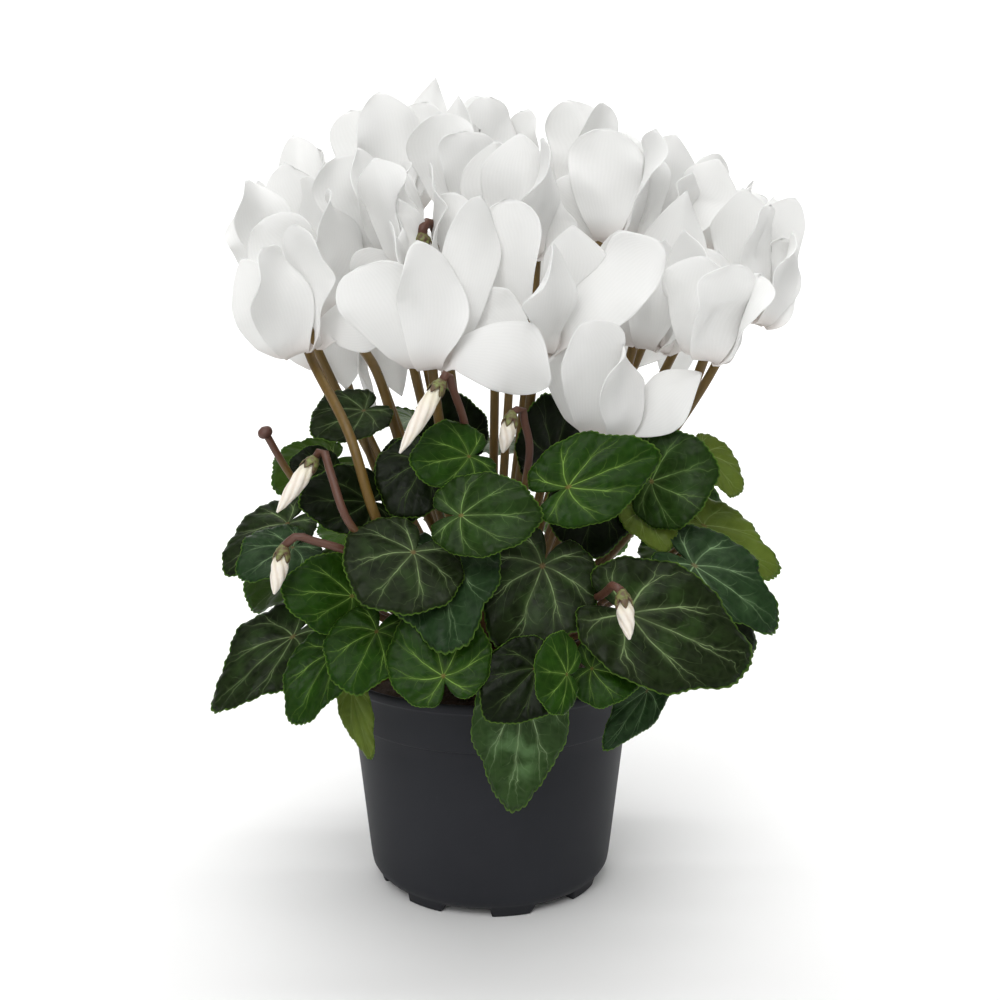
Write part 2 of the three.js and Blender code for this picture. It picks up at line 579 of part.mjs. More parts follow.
// The flower stalk rises beside the flower and hooks over, down to the calyx on the tube.
function flowerStalk(bloom) {
  const frame = bloomFrame(bloom);
  const side = frame.towards(bloom[2]);
  const offset = BLOOM.stalkOffset;
  const below = frame.at(side, offset, -4);
  const root = flowerRoot(below);
  const top = BLOOM.tubeLength + BLOOM.calyxLength;
  const hook = [frame.at(side, offset, top), frame.at(side, 0.55 * offset, top + 4.4)];
  const end = frame.at(side, 0, BLOOM.tubeLength + GAP);
  const arrive = frame.axis.clone().multiplyScalar(0.3 * below.distanceTo(root));
  const ways = STALK_WAYS[bloom[0]];
  const shaft = ways
    ? [root, root.clone().addScaledVector(UP, STALK.flowerRise), ...ways.map(V), below]
    : sweep(root, below, arrive, STALK.flowerRise, 3);
  return withCalyx([...shaft, ...hook], STALK.flower, end, frame.axis, BLOOM.calyxRadius);
}

function budStalk([, calyxAt, tip, hook, low]) {
  const end = V(calyxAt);
  const away = end.clone().sub(V(tip)).normalize();
  const from = flowerRoot(V(low));
  const arrive = V(hook).sub(V(low)).multiplyScalar(0.5);
  const points = [...sweep(from, V(low), arrive, 16, 2), V(hook).lerp(V(low), 0.35), V(hook)];
  return withCalyx(points, STALK.bud, end, away, 2.6);
}

function spentStalk([knob, low]) {
  const arrive = V(knob).sub(V(low));
  const points = [...sweep(flowerRoot(V(low)), V(low), arrive, 16, 2), V(knob)];
  return [[...points, V(knob).addScaledVector(arrive.normalize(), 3)],
    [...points.map(() => STALK.bud), 2.8]];
}

// Every stalk as a solid, grown by `extra` all round.
function stalkSolids(extra) {
  const stalks = [...LEAVES.map(leafStalk), ...BLOOMS.map(flowerStalk), ...BUDS.map(budStalk)];
  stalks.push(spentStalk(SPENT));
  return stalks.map(([points, radii, sides]) => (
    solid(tube(points, radii.map((radius) => radius + extra), sides || STALK.sides))
  ));
}

function budSolid([, at, tip]) {
  const start = V(at);
  const along = V(tip).sub(start);
  const length = along.length();
  along.normalize();
  const place = (z) => start.clone().addScaledVector(along, z);
  const shares = [[0, 2.2], [0.25, 3.1], [0.6, 2.6], [1, 0.5]];
  const points = shares.map(([share]) => place(GAP + share * (length - GAP)));
  return solid(tube(points, shares.map(([, radius]) => radius), 6));
}

// ---- assembly ----------------------------------------------------------------------------------
const COLOURS = {
  pot: { color: 0x323338, roughness: 0.5 },
  soil: { color: 0x3a2a1d, roughness: 0.95 },
  stalk: { color: 0x6e5524, roughness: 0.6 },
  leaf: { color: 0x23562a, roughness: 0.45 },
  petal: { color: 0xeeeeec, roughness: 0.6 },
  bud: { color: 0xf2eadf, roughness: 0.6 },
};

const plant = new THREE.Group();
plant.position.set(PLANT_SHIFT_X, PLANT_SHIFT_Y, 0);

function addNode(name, body, colour) {
  const material = new THREE.MeshStandardMaterial({ ...COLOURS[colour], metalness: 0 });
  const mesh = new THREE.Mesh(geometryOf(body), material);
  mesh.name = name;
  plant.add(mesh);
}

// Solids that cross are fused: groups of them are followed from one crossing to the next.
function fuseCrossing(named) {
  const groups = [];
  for (const [name, body] of named) {
    const touching = groups.filter((group) => group.members.some((member) => meets(member, body)));
    const rest = groups.filter((group) => !touching.includes(group));
    groups.length = 0;
    groups.push(...rest);
    groups.push({
      names: [...touching.flatMap((group) => group.names), name],
      members: [...touching.flatMap((group) => group.members), body],
    });
  }
  return groups.map((group) => [group.names.sort(), unite(group.members)]);
}

const stalks = stalkSolids(0);
const rooms = stalkSolids(GAP);
const meets = (one, other) => one.intersect(other).volume() > 1e-6;

// A blade that a stalk would pass through parts round it.
function clear(body) {
  const crossed = rooms.filter((room, k) => meets(body, stalks[k]));
  return crossed.length ? largest(body.subtract(unite(crossed))) : body;
}

addNode('pot', potSolid(), 'pot');
addNode('soil', soilSolid(), 'soil');
addNode('tuber_and_stalks', unite([solid(tuberGeometry(0)), ...stalks]), 'stalk');
for (const bud of BUDS) addNode(`bud_${bud[0]}`, budSolid(bud), 'bud');
const leaves = LEAVES.map((leaf) => [leaf[0], clear(solid(leafGeometry(leaf)))]);
for (const [names, body] of fuseCrossing(leaves)) addNode(`leaf_${names.join('_')}`, body, 'leaf');
const blooms = BLOOMS.map((bloom) => [bloom[0], clear(bloomSolid(bloom))]);
for (const [names, body] of fuseCrossing(blooms)) addNode(`flower_${names.join('_')}`, body, 'petal');

export default plant;
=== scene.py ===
"""Potted white cyclamen: the fine surfaces, finishes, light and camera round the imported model.

Lengths are millimetres from the middle of the pot's base, with +X to the right and +Y away in the
photograph and +Z up, until a mesh is written: that turns them into metres in the model's frame.
"""

import math

import bpy
import numpy as np
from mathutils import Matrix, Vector


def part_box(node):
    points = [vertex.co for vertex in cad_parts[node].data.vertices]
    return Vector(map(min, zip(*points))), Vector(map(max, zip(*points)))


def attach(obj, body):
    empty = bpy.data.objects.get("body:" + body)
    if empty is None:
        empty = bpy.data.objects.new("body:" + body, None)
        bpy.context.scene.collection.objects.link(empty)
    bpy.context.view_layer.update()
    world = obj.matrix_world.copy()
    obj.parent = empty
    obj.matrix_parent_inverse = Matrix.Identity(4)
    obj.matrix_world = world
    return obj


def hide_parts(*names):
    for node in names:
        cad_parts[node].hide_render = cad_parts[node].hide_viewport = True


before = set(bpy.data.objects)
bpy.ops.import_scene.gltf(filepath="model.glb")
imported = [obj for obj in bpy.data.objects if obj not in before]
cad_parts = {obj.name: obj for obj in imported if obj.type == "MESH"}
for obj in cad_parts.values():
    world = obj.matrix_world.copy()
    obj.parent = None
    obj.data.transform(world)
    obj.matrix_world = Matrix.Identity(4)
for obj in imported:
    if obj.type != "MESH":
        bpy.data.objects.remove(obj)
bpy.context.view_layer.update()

MM = 0.001
pot_low, pot_high = (np.array(corner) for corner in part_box("pot"))
POT_AXIS = np.array([(pot_low[0] + pot_high[0]) / 2, (pot_low[1] + pot_high[1]) / 2, 0.0])

# ---- the plant's places and sizes, as in the solids ----
GAP = 0.35

POT_HEIGHT = 92.0
RIM_RADIUS = 65.0
COLLAR_RADIUS = 60.6
COLLAR_HEIGHT = 72.0
BODY_TOP_RADIUS = 57.4
BODY_BOTTOM_RADIUS = 50.0
COLLAR_FLARE = 3.0
WALL = 1.6
FOOT_HEIGHT = 4.0
FOOT_COUNT = 8
FOOT_TURN = 11.0
NOTCH_WIDTH = 19.0
DRAIN_INNER = 28.5
DRAIN_OUTER = 37.5
DRAIN_WIDTH = 3.4

SOIL_TOP = 82.0
SOIL_RISE = 3.0
TUBER_MIDDLE = np.array([0.0, 2.0, 82.0])
TUBER_RADIUS = 23.0
TUBER_HEIGHT = 11.0

LEAF_STALK = 1.35
FLOWER_STALK = 1.9
BUD_STALK = 1.45
FLOWER_RISE = 20.0

FACING_SIDE = 0.6
FACING_DEPTH = 40.0
FACING_UP = 0.45
HEART_WIDTH = 1.43
LEAF_THICK = 0.8

MOUTH_RADIUS = 3.0
TUBE_LENGTH = 8.5
FOLD = 8.0
FOLD_RADIUS = 6.2
PETAL_OPEN = 5.0
PETAL_OPEN_SPREAD = 17.0
PETAL_LENGTH = 44.0
PETAL_WIDTH = 28.0
PETAL_TWIST = 42.0
UPRIGHT = 300.0
STALK_OFFSET = 8.6
CALYX_RADIUS = 3.3
CALYX_LENGTH = 2.8

# [name, joint with the stalk, tip, width, roll, cup, arch, how pointed, looks of the blade]; the dark
# look, and middling on leaf 15, are painted shade for leaves that sit in shade
LEAVES = [
    ["01", (-26, -79, 152), (-40, -95, 136), 44, 0, 0.10, 0.10, 0.06, "marbled"],
    ["02", (-16, -72, 148), (-10, -101, 122), 42, 8, 0.06, 0.12, 0.14, "bluish"],
    ["03", (-49, -68, 134), (-73, -76, 138), 30, 0, 0.12, 0.10, 0.06, "bright"],
    ["04", (-39, -80, 124), (-47, -96, 107), 31, 0, 0.14, 0.14, 0.04, "bright"],
    ["05", (-15, -96, 113), (-21, -84, 134), 36, 0, 0.12, 0.06, 0.02, "bright"],
    ["06", (-56, -66, 113), (-69, -79, 90), 26, 0, 0.12, 0.16, 0.10, "bright"],
    ["07", (-75, -42, 112), (-103, -54, 86), 36, 0, 0.08, 0.16, 0.18, "marbled"],
    ["08", (-74, -44, 147), (-91, -58, 138), 30, 0, 0.10, 0.14, 0.10, "bluish"],
    ["09", (-80, -20, 152), (-103, -30, 134), 33, 0, 0.08, 0.12, 0.12, "marbled"],
    ["10", (-44, -54, 166), (-68, -66, 168), 28, 0, 0.10, 0.10, 0.06, "dark"],
    ["11", (-47, -38, 198), (-64, -52, 189), 27, 0, 0.16, 0.10, 0.08, "marbled"],
    ["12", (-66, -10, 172), (-80, -14, 175), 20, 0, 0.10, 0.10, 0.06, "dark"],
    ["13", (-23, -58, 181), (-32, -68, 162), 32, 0, 0.10, 0.16, 0.08, "dark"],
    ["14", (-7, -66, 184), (-27, -78, 181), 29, 0, 0.14, 0.10, 0.10, "bright"],
    # leaf 15's middling look stands for the shade it sits in: painted shade
    ["15", (-9, -85, 166), (18, -91, 167), 30, 0, 0.12, 0.08, 0.04, "middling"],
    ["16", (28, -72, 174), (60, -68, 186), 33, 0, 0.12, 0.08, 0.14, "bright"],
    ["17", (60, -50, 173), (83, -56, 181), 40, 0, 0.08, 0.14, 0.10, "middling"],
    ["18", (84, -22, 180), (97, -26, 164), 24, 0, 0.16, 0.10, 0.12, "pale"],
    ["19", (75, -58, 143), (106, -64, 121), 36, 0, 0.10, 0.10, 0.20, "bluish"],
    ["20", (84, -24, 152), (114, -26, 132), 30, 0, 0.06, 0.10, 0.20, "pale"],
    ["21", (49, -82, 131), (91, -83, 112), 46, 0, 0.08, 0.08, 0.10, "marbled"],
    ["22", (78, -44, 124), (102, -44, 108), 32, 0, 0.08, 0.10, 0.14, "dark"],
    ["23", (19, -73, 146), (7, -88, 118), 45, 2, 0.06, 0.12, 0.12, "marbled"],
    ["24", (26, -104, 116), (15, -108, 119), 28, 0, 0.12, 0.08, 0.02, "bright"],
    ["25", (36, -84, 112), (53, -86, 108), 26, 0, 0.12, 0.10, 0.10, "bright"],
    ["26", (16, -94, 115), (-1, -101, 100), 28, 0, 0.08, 0.10, 0.10, "dark"],
    ["27", (12, -85, 104), (8, -79, 57), 34, 0, 0.12, 0.04, 0.16, "silvered"],
    ["28", (-50, -63, 97), (-43, -66, 72), 13, 0, 0.20, 0.10, 0.14, "pale"],
    ["29", (58, -62, 97), (41, -74, 79), 18, 0, 0.12, 0.12, 0.18, "bluish"],
    # 30 and 31 sit deep in the plant; their dark look is painted shade
    ["30", (-14, -16, 184), (-22, -26, 206), 31, 0, 0.10, 0.10, 0.08, "dark"],
    ["31", (24, -26, 180), (18, -38, 204), 31, 0, 0.10, 0.10, 0.08, "dark"],
    ["32", (57, -47, 161), (65, -57, 148), 22, 0, 0.10, 0.14, 0.10, "pale"],
    ["33", (74, 8, 160), (102, 14, 146), 38, 0, 0.08, 0.12, 0.10, "bright"],
    ["34", (56, 30, 178), (80, 44, 168), 36, 0, 0.10, 0.12, 0.10, "bluish"],
    ["35", (2, 62, 176), (2, 88, 166), 36, 0, 0.08, 0.12, 0.10, "middling"],
    ["36", (-34, 50, 188), (-46, 74, 180), 34, 0, 0.10, 0.12, 0.10, "bright"],
    ["37", (-68, 18, 172), (-92, 26, 158), 40, 0, 0.08, 0.12, 0.10, "middling"],
    ["38", (82, 28, 132), (106, 38, 110), 46, 0, 0.08, 0.12, 0.10, "marbled"],
    ["39", (44, 72, 140), (58, 94, 116), 50, 0, 0.08, 0.12, 0.10, "silvered"],
    ["40", (-8, 82, 142), (-10, 104, 116), 50, 0, 0.08, 0.12, 0.10, "marbled"],
    ["41", (-54, 62, 138), (-72, 80, 114), 48, 0, 0.08, 0.12, 0.10, "bright"],
    ["42", (-80, 22, 128), (-104, 30, 104), 44, 0, 0.08, 0.12, 0.10, "marbled"],
    # 43 and 44 sit deep in the plant; their dark look is painted shade
    ["43", (38, -46, 168), (35, -50, 143), 34, 0, 0.10, 0.10, 0.08, "dark"],
    ["44", (-28, -44, 180), (-30, -52, 158), 30, 0, 0.10, 0.10, 0.08, "dark"],
]

# [name, middle of the mouth, turn of the stalk, petals], as in the solids: a petal is
# [place, turn away from it, opening from the axis, length, width, twist].
BLOOMS = [
    ["01", (-69, -44, 222), 85, [[1, 10, 10, 38, 20, 60], [2, 10, 4, 42, 24, 60],
        [4, 25, 4, 49, 28, 60], [5, -35, 79, 40, 20, 60]]],
    ["02", (-59, -14, 235), 90, [[3, 55, -3, 52, 29, 60], [4, 10, 92, 27, 18, 60],
        [5, -30, 47, 31, 22, 60]]],
    ["03", (-84, 14, 250), 85, [[1, -25, -6, 47, 20, 60], [2, 15, 4, 35, 21, 60],
        [4, 15, 30, 43, 28, 60], [5, -15, 4, 50, 24, 60]]],
    ["04", (-67, 40, 257), 60, [[3, 10, 3, 60, 22, 20], [4, 0, 12, 50, 27, 20]]],
    ["05", (-39, 32, 277), 85, [[2, -5, 7, 50, 23, 60], [3, 10, 7, 53, 30, 15],
        [4, 5, 15, 49, 29, 60], [5, -15, 13, 62, 20, 65]]],
    ["06", (-44, 4, 255), 60, [[4, -15, 0, 50, 29, 15], [5, 5, 5, 45, 24, 60]]],
    ["07", (-6, 18, 275), 25, [[2, -5, -1, 55, 20, 65], [4, -10, 5, 37, 29, 15],
        [5, 10, 9, 31, 24, 60]]],
    ["08", (-21, -54, 217), 90, [[1, -20, 10, 56, 22, 30], [3, 25, -8, 50, 27, 15],
        [4, 15, 96, 45, 27, 60], [5, -5, 15, 64, 22, 60]]],
    ["09", (18, -46, 222), 95, [[1, 15, 5, 58, 28, 65], [2, -35, 46, 35, 22, 60],
        [4, 20, 37, 58, 32, 60], [5, -15, -1, 50, 24, 60]]],
    ["10", (63, -12, 222), 130, [[2, -5, -6, 46, 25, 15], [5, 0, -2, 67, 28, 20]]],
    ["11", (43, -45, 191), 55, [[2, 5, 16, 40, 22, 60], [4, -25, -7, 40, 27, 15],
        [5, 0, 38, 41, 26, 30]]],
    ["12", (79, -50, 220), 80, [[2, -5, 7, 39, 25, 15], [3, 0, 4, 40, 27, 30],
        [4, 0, 0, 38, 25, 30], [5, 10, -8, 35, 19, 20]]],
    ["13", (105, -2, 233), 120, [[1, 15, 17, 53, 25, 60], [2, -20, 7, 48, 23, 60],
        [3, 5, -4, 42, 22, 20], [4, -5, -14, 40, 22, 60], [5, 25, -8, 56, 22, 20]]],
    ["14", (99, 34, 261), 100, [[2, 0, 16, 34, 28, 60], [3, 0, 8, 35, 26, 30],
        [4, 0, 8, 34, 26, 60], [5, 0, 8, 36, 26, 60]]],
    ["15", (73, 16, 269), 45, [[2, 0, 10, 38, 26, 60], [3, -10, -5, 43, 29, 60],
        [4, 0, 3, 28, 18, 30], [5, 0, 8, 37, 26, 60]]],
    ["16", (49, 4, 264), 65, [[2, 10, 52, 32, 24, 60], [3, -15, 4, 47, 30, 15],
        [5, 15, -6, 46, 24, 60]]],
    ["17", (43, 50, 284), 30, [[3, 10, 11, 46, 27, 60], [4, -5, 9, 44, 22, 20],
        [5, 0, 8, 36, 24, 60]]],
    ["18", (13, -10, 258), 50, [[3, 20, -1, 50, 30, 15], [5, -5, 4, 30, 24, 60]]],
    ["20", (4, 54, 289), 25, [[4, -5, 7, 43, 29, 15], [5, 5, 11, 39, 24, 60]]],
    ["19", (-44, 28, 233), 25, [[1, -10, -158, 44, 22, 20], [2, 30, 142, 40, 22, 20],
        [3, -30, 162, 49, 22, 20]]],
    ["25", (-24, -30, 252), 55, [[3, -25, -5, 31, 20, 60], [4, 45, -4, 43, 24, 60],
        [5, -5, 11, 32, 20, 60]]],
    ["21", (-26, 80, 238), -80, []],
    ["22", (24, 90, 228), -100, []],
    ["23", (70, 72, 236), -130, [[1, -10, 150, 42, 26, 20], [2, 0, 150, 40, 24, 20]]],
    ["24", (-74, 58, 214), -40, []],
]

# [name, calyx, tip of the bud, middle of the hook, point lower on the stalk]
BUDS = [
    ["1", (-17, -76, 209), (-30, -82, 187), (-14, -75, 214), (-9, -60, 197)],
    ["2", (-62, -70, 182), (-73, -78, 166), (-58, -70, 187), (-49, -78, 164)],
    ["3", (-71, -80, 152), (-74, -82, 138), (-66, -80, 158), (-51, -77, 153)],
    ["4", (8, -52, 196), (5, -54, 184), (12, -50, 200), (15, -46, 186)],
    ["5", (45, -98, 140), (47, -101, 127), (42, -95, 144), (39, -80, 137)],
]
SPENT_KNOB = (-85, -30, 188)
SPENT_LOW = (-77, -26, 172)

# Flower stalks that pass in front of leaves: the places that they go through on their way up.
STALK_WAYS = {
    "01": [(-38, -62, 156), (-50, -60, 192)],
    "02": [(-31, -26, 172), (-36, -28, 190), (-43, -30, 213)],
}

UP = np.array([0.0, 0.0, 1.0])


# ---- vectors and curves ----
def vec(values):
    """Numbers as an array."""
    return np.array(values, dtype=float)


def unit(v):
    """Vectors made one long."""
    return v / np.linalg.norm(v, axis=-1, keepdims=True)


def draw(index):
    """A repeatable draw between 0 and 1: the fraction of a large sine of the index."""
    value = math.sin(index * 12.9898 + 4.1414) * 43758.5453
    return value - math.floor(value)


def turned_about(v, axis, angle):
    """A vector turned about a unit axis, by Rodrigues' formula; one angle for each row."""
    cos = np.cos(angle)[..., None]
    sin = np.sin(angle)[..., None]
    along = np.sum(v * axis, axis=-1, keepdims=True)
    return v * cos + np.cross(axis, v) * sin + axis * along * (1 - cos)


def catmull_rom(control):
    """Centripetal Catmull-Rom curve: a cubic between each pair of control points, whose slopes at
    its ends weigh the neighbouring spans by the square roots of their lengths."""
    inner = np.array(control, dtype=float)
    ends = (2 * inner[:1] - inner[1:2], inner, 2 * inner[-1:] - inner[-2:-1])
    points = np.concatenate(ends)

    def curve(t):
        place = np.asarray(t, dtype=float) * (len(inner) - 1)
        first = np.minimum(place.astype(int), len(inner) - 2)
        w = (place - first)[:, None]
        p0, p1, p2, p3 = (points[first + k] for k in range(4))
        d0, d1, d2 = (
            np.sqrt(np.linalg.norm(b - a, axis=1, keepdims=True))
            for a, b in ((p0, p1), (p1, p2), (p2, p3))
        )
        start = ((p1 - p0) / d0 - (p2 - p0) / (d0 + d1) + (p2 - p1) / d1) * d1
        end = ((p2 - p1) / d1 - (p3 - p1) / (d1 + d2) + (p3 - p2) / d2) * d1
        squared = -3 * p1 + 3 * p2 - 2 * start - end
        cubed = 2 * p1 - 2 * p2 + start + end
        return p1 + start * w + squared * w**2 + cubed * w**3

    return curve


def bezier(control):
    """Cubic Bezier curve through its first and last control points."""
    a, b, c, d = (vec(p) for p in control)

    def curve(t):
        w = np.asarray(t, dtype=float)[:, None]
        return a * (1 - w) ** 3 + 3 * b * w * (1 - w) ** 2 + 3 * c * w**2 * (1 - w) + d * w**3

    return curve


def walk(curve, shares, steps=200):
    """Points at given shares of a curve's length, and its unit tangents there."""
    t = np.linspace(0, 1, steps + 1)
    hops = np.linalg.norm(np.diff(curve(t), axis=0), axis=1)
    length = np.concatenate([[0], np.cumsum(hops)])
    u = np.interp(np.asarray(shares, dtype=float) * length[-1], length, t)
    nudge = 1e-4
    before = np.clip(u - nudge, 0, 1)
    after = np.clip(u + nudge, 0, 1)
    return curve(u), unit(curve(after) - curve(before))


# ---- meshes ----
def quads(index, closed=False):
    """Four-cornered faces of a grid of vertex numbers; closed joins its last column to its first."""
    if closed:
        index = np.concatenate([index, index[:, :1]], axis=1)
    corners = (index[:-1, :-1], index[:-1, 1:], index[1:, 1:], index[1:, :-1])
    return np.stack(corners, axis=-1).reshape(-1, 4)


def fan(centre, ring):
    """Three-cornered faces from one vertex to a closed ring of vertices, as rows of four numbers
    whose last is -1."""
    return np.stack([np.full_like(ring, centre), ring, np.roll(ring, -1), np.full_like(ring, -1)], -1)


def capped(index, walls):
    """Faces of a round body: its walls, and a fan to its first and last ring from the two poles,
    which are numbered after the rings."""
    return np.concatenate([walls, fan(index.size, index[0][::-1]), fan(index.size + 1, index[-1])])


def turns(count):
    """Even turns round a circle, from 0."""
    return np.linspace(0, 2 * math.pi, count, endpoint=False)


def turned(radius, height, turn):
    """Rings of a profile turned about the pot's axis: at each height the radius times the turn's
    cosine and sine."""
    return np.stack(np.broadcast_arrays(radius * np.cos(turn), radius * np.sin(turn), height), -1)


def circle(first, second, turn):
    """Directions at each turn from a first direction towards a second one, square to it."""
    return first * np.cos(turn)[:, None] + second * np.sin(turn)[:, None]


class Shape:
    """Parts of one mesh: points, faces, a leaf or petal map and named values for each point."""

    def __init__(self):
        self.points = []
        self.faces = []
        self.maps = []
        self.values = {}
        self.count = 0

    def add(self, points, faces, uv=None, **values):
        """Add a part: its own points, faces that number them, its map and values."""
        points = np.asarray(points, dtype=float).reshape(-1, 3)
        number = len(points)
        shifted = np.where(faces < 0, -1, faces + self.count)
        self.points.append(points)
        self.faces.append(shifted)
        self.maps.append(np.zeros((number, 2)) if uv is None else np.asarray(uv).reshape(-1, 2))
        for name, value in values.items():
            spread = np.broadcast_to(np.asarray(value, dtype=float).reshape(-1), (number,))
            self.values.setdefault(name, []).append(spread)
        self.count += number

    def add_round(self, rings, poles, uv=None, **values):
        """Add a closed round body: rows of rings from one pole to the other."""
        index = np.arange(rings.shape[0] * rings.shape[1]).reshape(rings.shape[:2])
        points = np.concatenate([rings.reshape(-1, 3), poles])
        self.add(points, capped(index, quads(index, closed=True)), uv, **values)


def write_piece(name, shape, material, nodes):
    """Write a shape's points, faces, map and values into one mesh object, in metres, which takes
    the place of the nodes."""
    points = np.concatenate(shape.points) * MM + POT_AXIS
    faces = np.concatenate(shape.faces)
    sides = np.where(faces[:, 3] < 0, 3, 4)
    corners = faces.reshape(-1)
    corners = corners[corners >= 0]
    starts = np.concatenate([[0], np.cumsum(sides)[:-1]])
    mesh = bpy.data.meshes.new(name)
    mesh.vertices.add(len(points))
    mesh.vertices.foreach_set("co", points.reshape(-1).astype(np.float32))
    mesh.loops.add(len(corners))
    mesh.loops.foreach_set("vertex_index", corners.astype(np.int32))
    mesh.polygons.add(len(faces))
    mesh.polygons.foreach_set("loop_start", starts.astype(np.int32))
    mesh.polygons.foreach_set("use_smooth", np.ones(len(faces), dtype=bool))
    layer = mesh.uv_layers.new(name="blade")
    uv = np.concatenate(shape.maps)[corners]
    layer.data.foreach_set("uv", uv.reshape(-1).astype(np.float32))
    for key, parts in shape.values.items():
        attribute = mesh.attributes.new(key, "FLOAT", "POINT")
        attribute.data.foreach_set("value", np.concatenate(parts).astype(np.float32))
    mesh.update()
    mesh.validate()
    mesh.materials.append(material)
    piece = bpy.data.objects.new(name, mesh)
    bpy.context.scene.collection.objects.link(piece)
    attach(piece, "root")
    if nodes:
        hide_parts(*nodes)


def node_with(kind, number):
    """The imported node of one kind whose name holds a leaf's or a flower's number."""
    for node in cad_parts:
        words = node.split("_")
        if words[0] == kind and number in words[1:]:
            return node
    raise ValueError(f"no {kind} {number} in the frame")


def thin_sheet(shape, middle, thickness, uv, **values):
    """Add a closed thin sheet: its two faces lie half the thickness either side of a grid of
    middle points, along the grid's normals, and meet in the grid's border."""
    rows, cols = middle.shape[:2]
    across = np.gradient(middle, axis=1)
    along = np.gradient(middle, axis=0)
    offset = 0.5 * thickness * unit(np.cross(across, along))[1:-1, 1:-1]
    front = np.arange(rows * cols).reshape(rows, cols)
    back = front.copy()
    back[1:-1, 1:-1] = rows * cols + np.arange((rows - 2) * (cols - 2)).reshape(rows - 2, cols - 2)
    outer = middle.copy()
    outer[1:-1, 1:-1] += offset
    inner = middle[1:-1, 1:-1] - offset
    points = np.concatenate([outer.reshape(-1, 3), inner.reshape(-1, 3)])
    both = {}
    for name, value in values.items():
        grid = np.broadcast_to(value, (rows, cols))
        both[name] = np.concatenate([grid.reshape(-1), grid[1:-1, 1:-1].reshape(-1)])
    inner_side = np.concatenate([np.zeros(rows * cols), np.ones((rows - 2) * (cols - 2))])
    map_both = np.concatenate([uv.reshape(-1, 2), uv[1:-1, 1:-1].reshape(-1, 2)])
    faces = np.concatenate([quads(front), quads(back)[:, ::-1]])
    shape.add(points, faces, map_both, under=inner_side, **both)


def tube(shape, points, tangents, radii, sides, **values):
    """Add a closed round tube: a ring at each point, square to the curve, carried along it without
    twisting, with both ends closed by a fan."""
    rows = len(points)
    across = np.zeros((rows, 3))
    start = UP if abs(tangents[0][2]) < 0.9 else vec((1, 0, 0))
    for k in range(rows):
        start = unit(start - tangents[k] * (start @ tangents[k]))
        across[k] = start
    third = np.cross(tangents, across)
    radii = np.broadcast_to(radii, (rows,))[:, None, None]
    rings = points[:, None] + radii * circle(across[:, None], third[:, None], turns(sides))
    spread = {}
    for name, value in values.items():
        column = np.broadcast_to(value, (rows,))
        spread[name] = np.concatenate([np.repeat(column, sides), column[[0, -1]]])
    shape.add_round(rings, points[[0, -1]], **spread)


# ---- materials ----
NODE_MODES = {
    "Math": "operation", "VectorMath": "operation", "MapRange": "interpolation_type",
    "TexVoronoi": "feature", "Mix": "data_type",
}


def linear(hex_colour):
    """A colour given as sRGB hex, as linear red, green, blue and alpha."""
    parts = [int(hex_colour[k:k + 2], 16) / 255 for k in (1, 3, 5)]
    return [p / 12.92 if p <= 0.04045 else ((p + 0.055) / 1.055) ** 2.4 for p in parts] + [1.0]


def set_inputs(tree, node, inputs):
    """Give each of a node's inputs a value or another node's output."""
    for socket, value in inputs.items():
        if isinstance(value, bpy.types.NodeSocket):
            tree.links.new(value, node.inputs[socket])
        else:
            node.inputs[socket].default_value = value


def add(tree, kind, *inputs, output=0, **settings):
    """Add a shader node, whose kind may be followed by its mode, with its settings and its inputs in
    order, or as one dictionary by name or number; the result is one of its outputs."""
    kind, _, mode = kind.partition(" ")
    node = tree.nodes.new("ShaderNode" + kind)
    if mode:
        settings[NODE_MODES[kind]] = mode
    for key, value in settings.items():
        setattr(node, key, value)
    by_name = inputs and isinstance(inputs[0], dict)
    set_inputs(tree, node, inputs[0] if by_name else dict(enumerate(inputs)))
    return node.outputs[output]


def start_material(name, *grains, carried=()):
    """A new material with its node tree, its Object coordinates, a soft noise for each grain, which
    is given as [how many millimetres its patches are across, detail], and each value named as
    carried by the piece's points."""
    material = bpy.data.materials.new(name)
    material.use_nodes = True
    tree = material.node_tree
    place = add(tree, "TexCoord", output="Object")
    noises = [
        add(tree, "TexNoise", {"Vector": place, "Scale": 1 / (size * MM), "Detail": detail})
        for size, detail in grains
    ]
    values = [add(tree, "Attribute", output="Fac", attribute_name=value) for value in carried]
    return material, tree, place, *noises, *values


def layered(tree, base, *layers):
    """Colours laid over a base: each layer is [where it shows, how strongly, colour], and a colour
    is sRGB hex or a pattern's output."""
    colour = linear(base) if isinstance(base, str) else base
    for mask, strength, over in layers:
        if strength < 1:
            mask = add(tree, "Math MULTIPLY", mask, strength)
        over = linear(over) if isinstance(over, str) else over
        colour = add(tree, "Mix RGBA", {0: mask, 6: colour, 7: over}, output=2)
    return colour


def dress(tree, colour, numbers, relief=None, tall=0.0, strength=0.0):
    """Give the shader its colour and numbers, and a bump from a relief between 0 and 1 that stands
    so many millimetres tall."""
    inputs = {"Base Color": colour, **numbers}
    if relief is not None:
        heights = {"Height": relief, "Distance": tall * MM, "Strength": strength}
        inputs["Normal"] = add(tree, "Bump", heights)
    set_inputs(tree, tree.nodes["Principled BSDF"], inputs)


PETAL_VEINS = 62.0
PETAL_THROUGH = 0.45


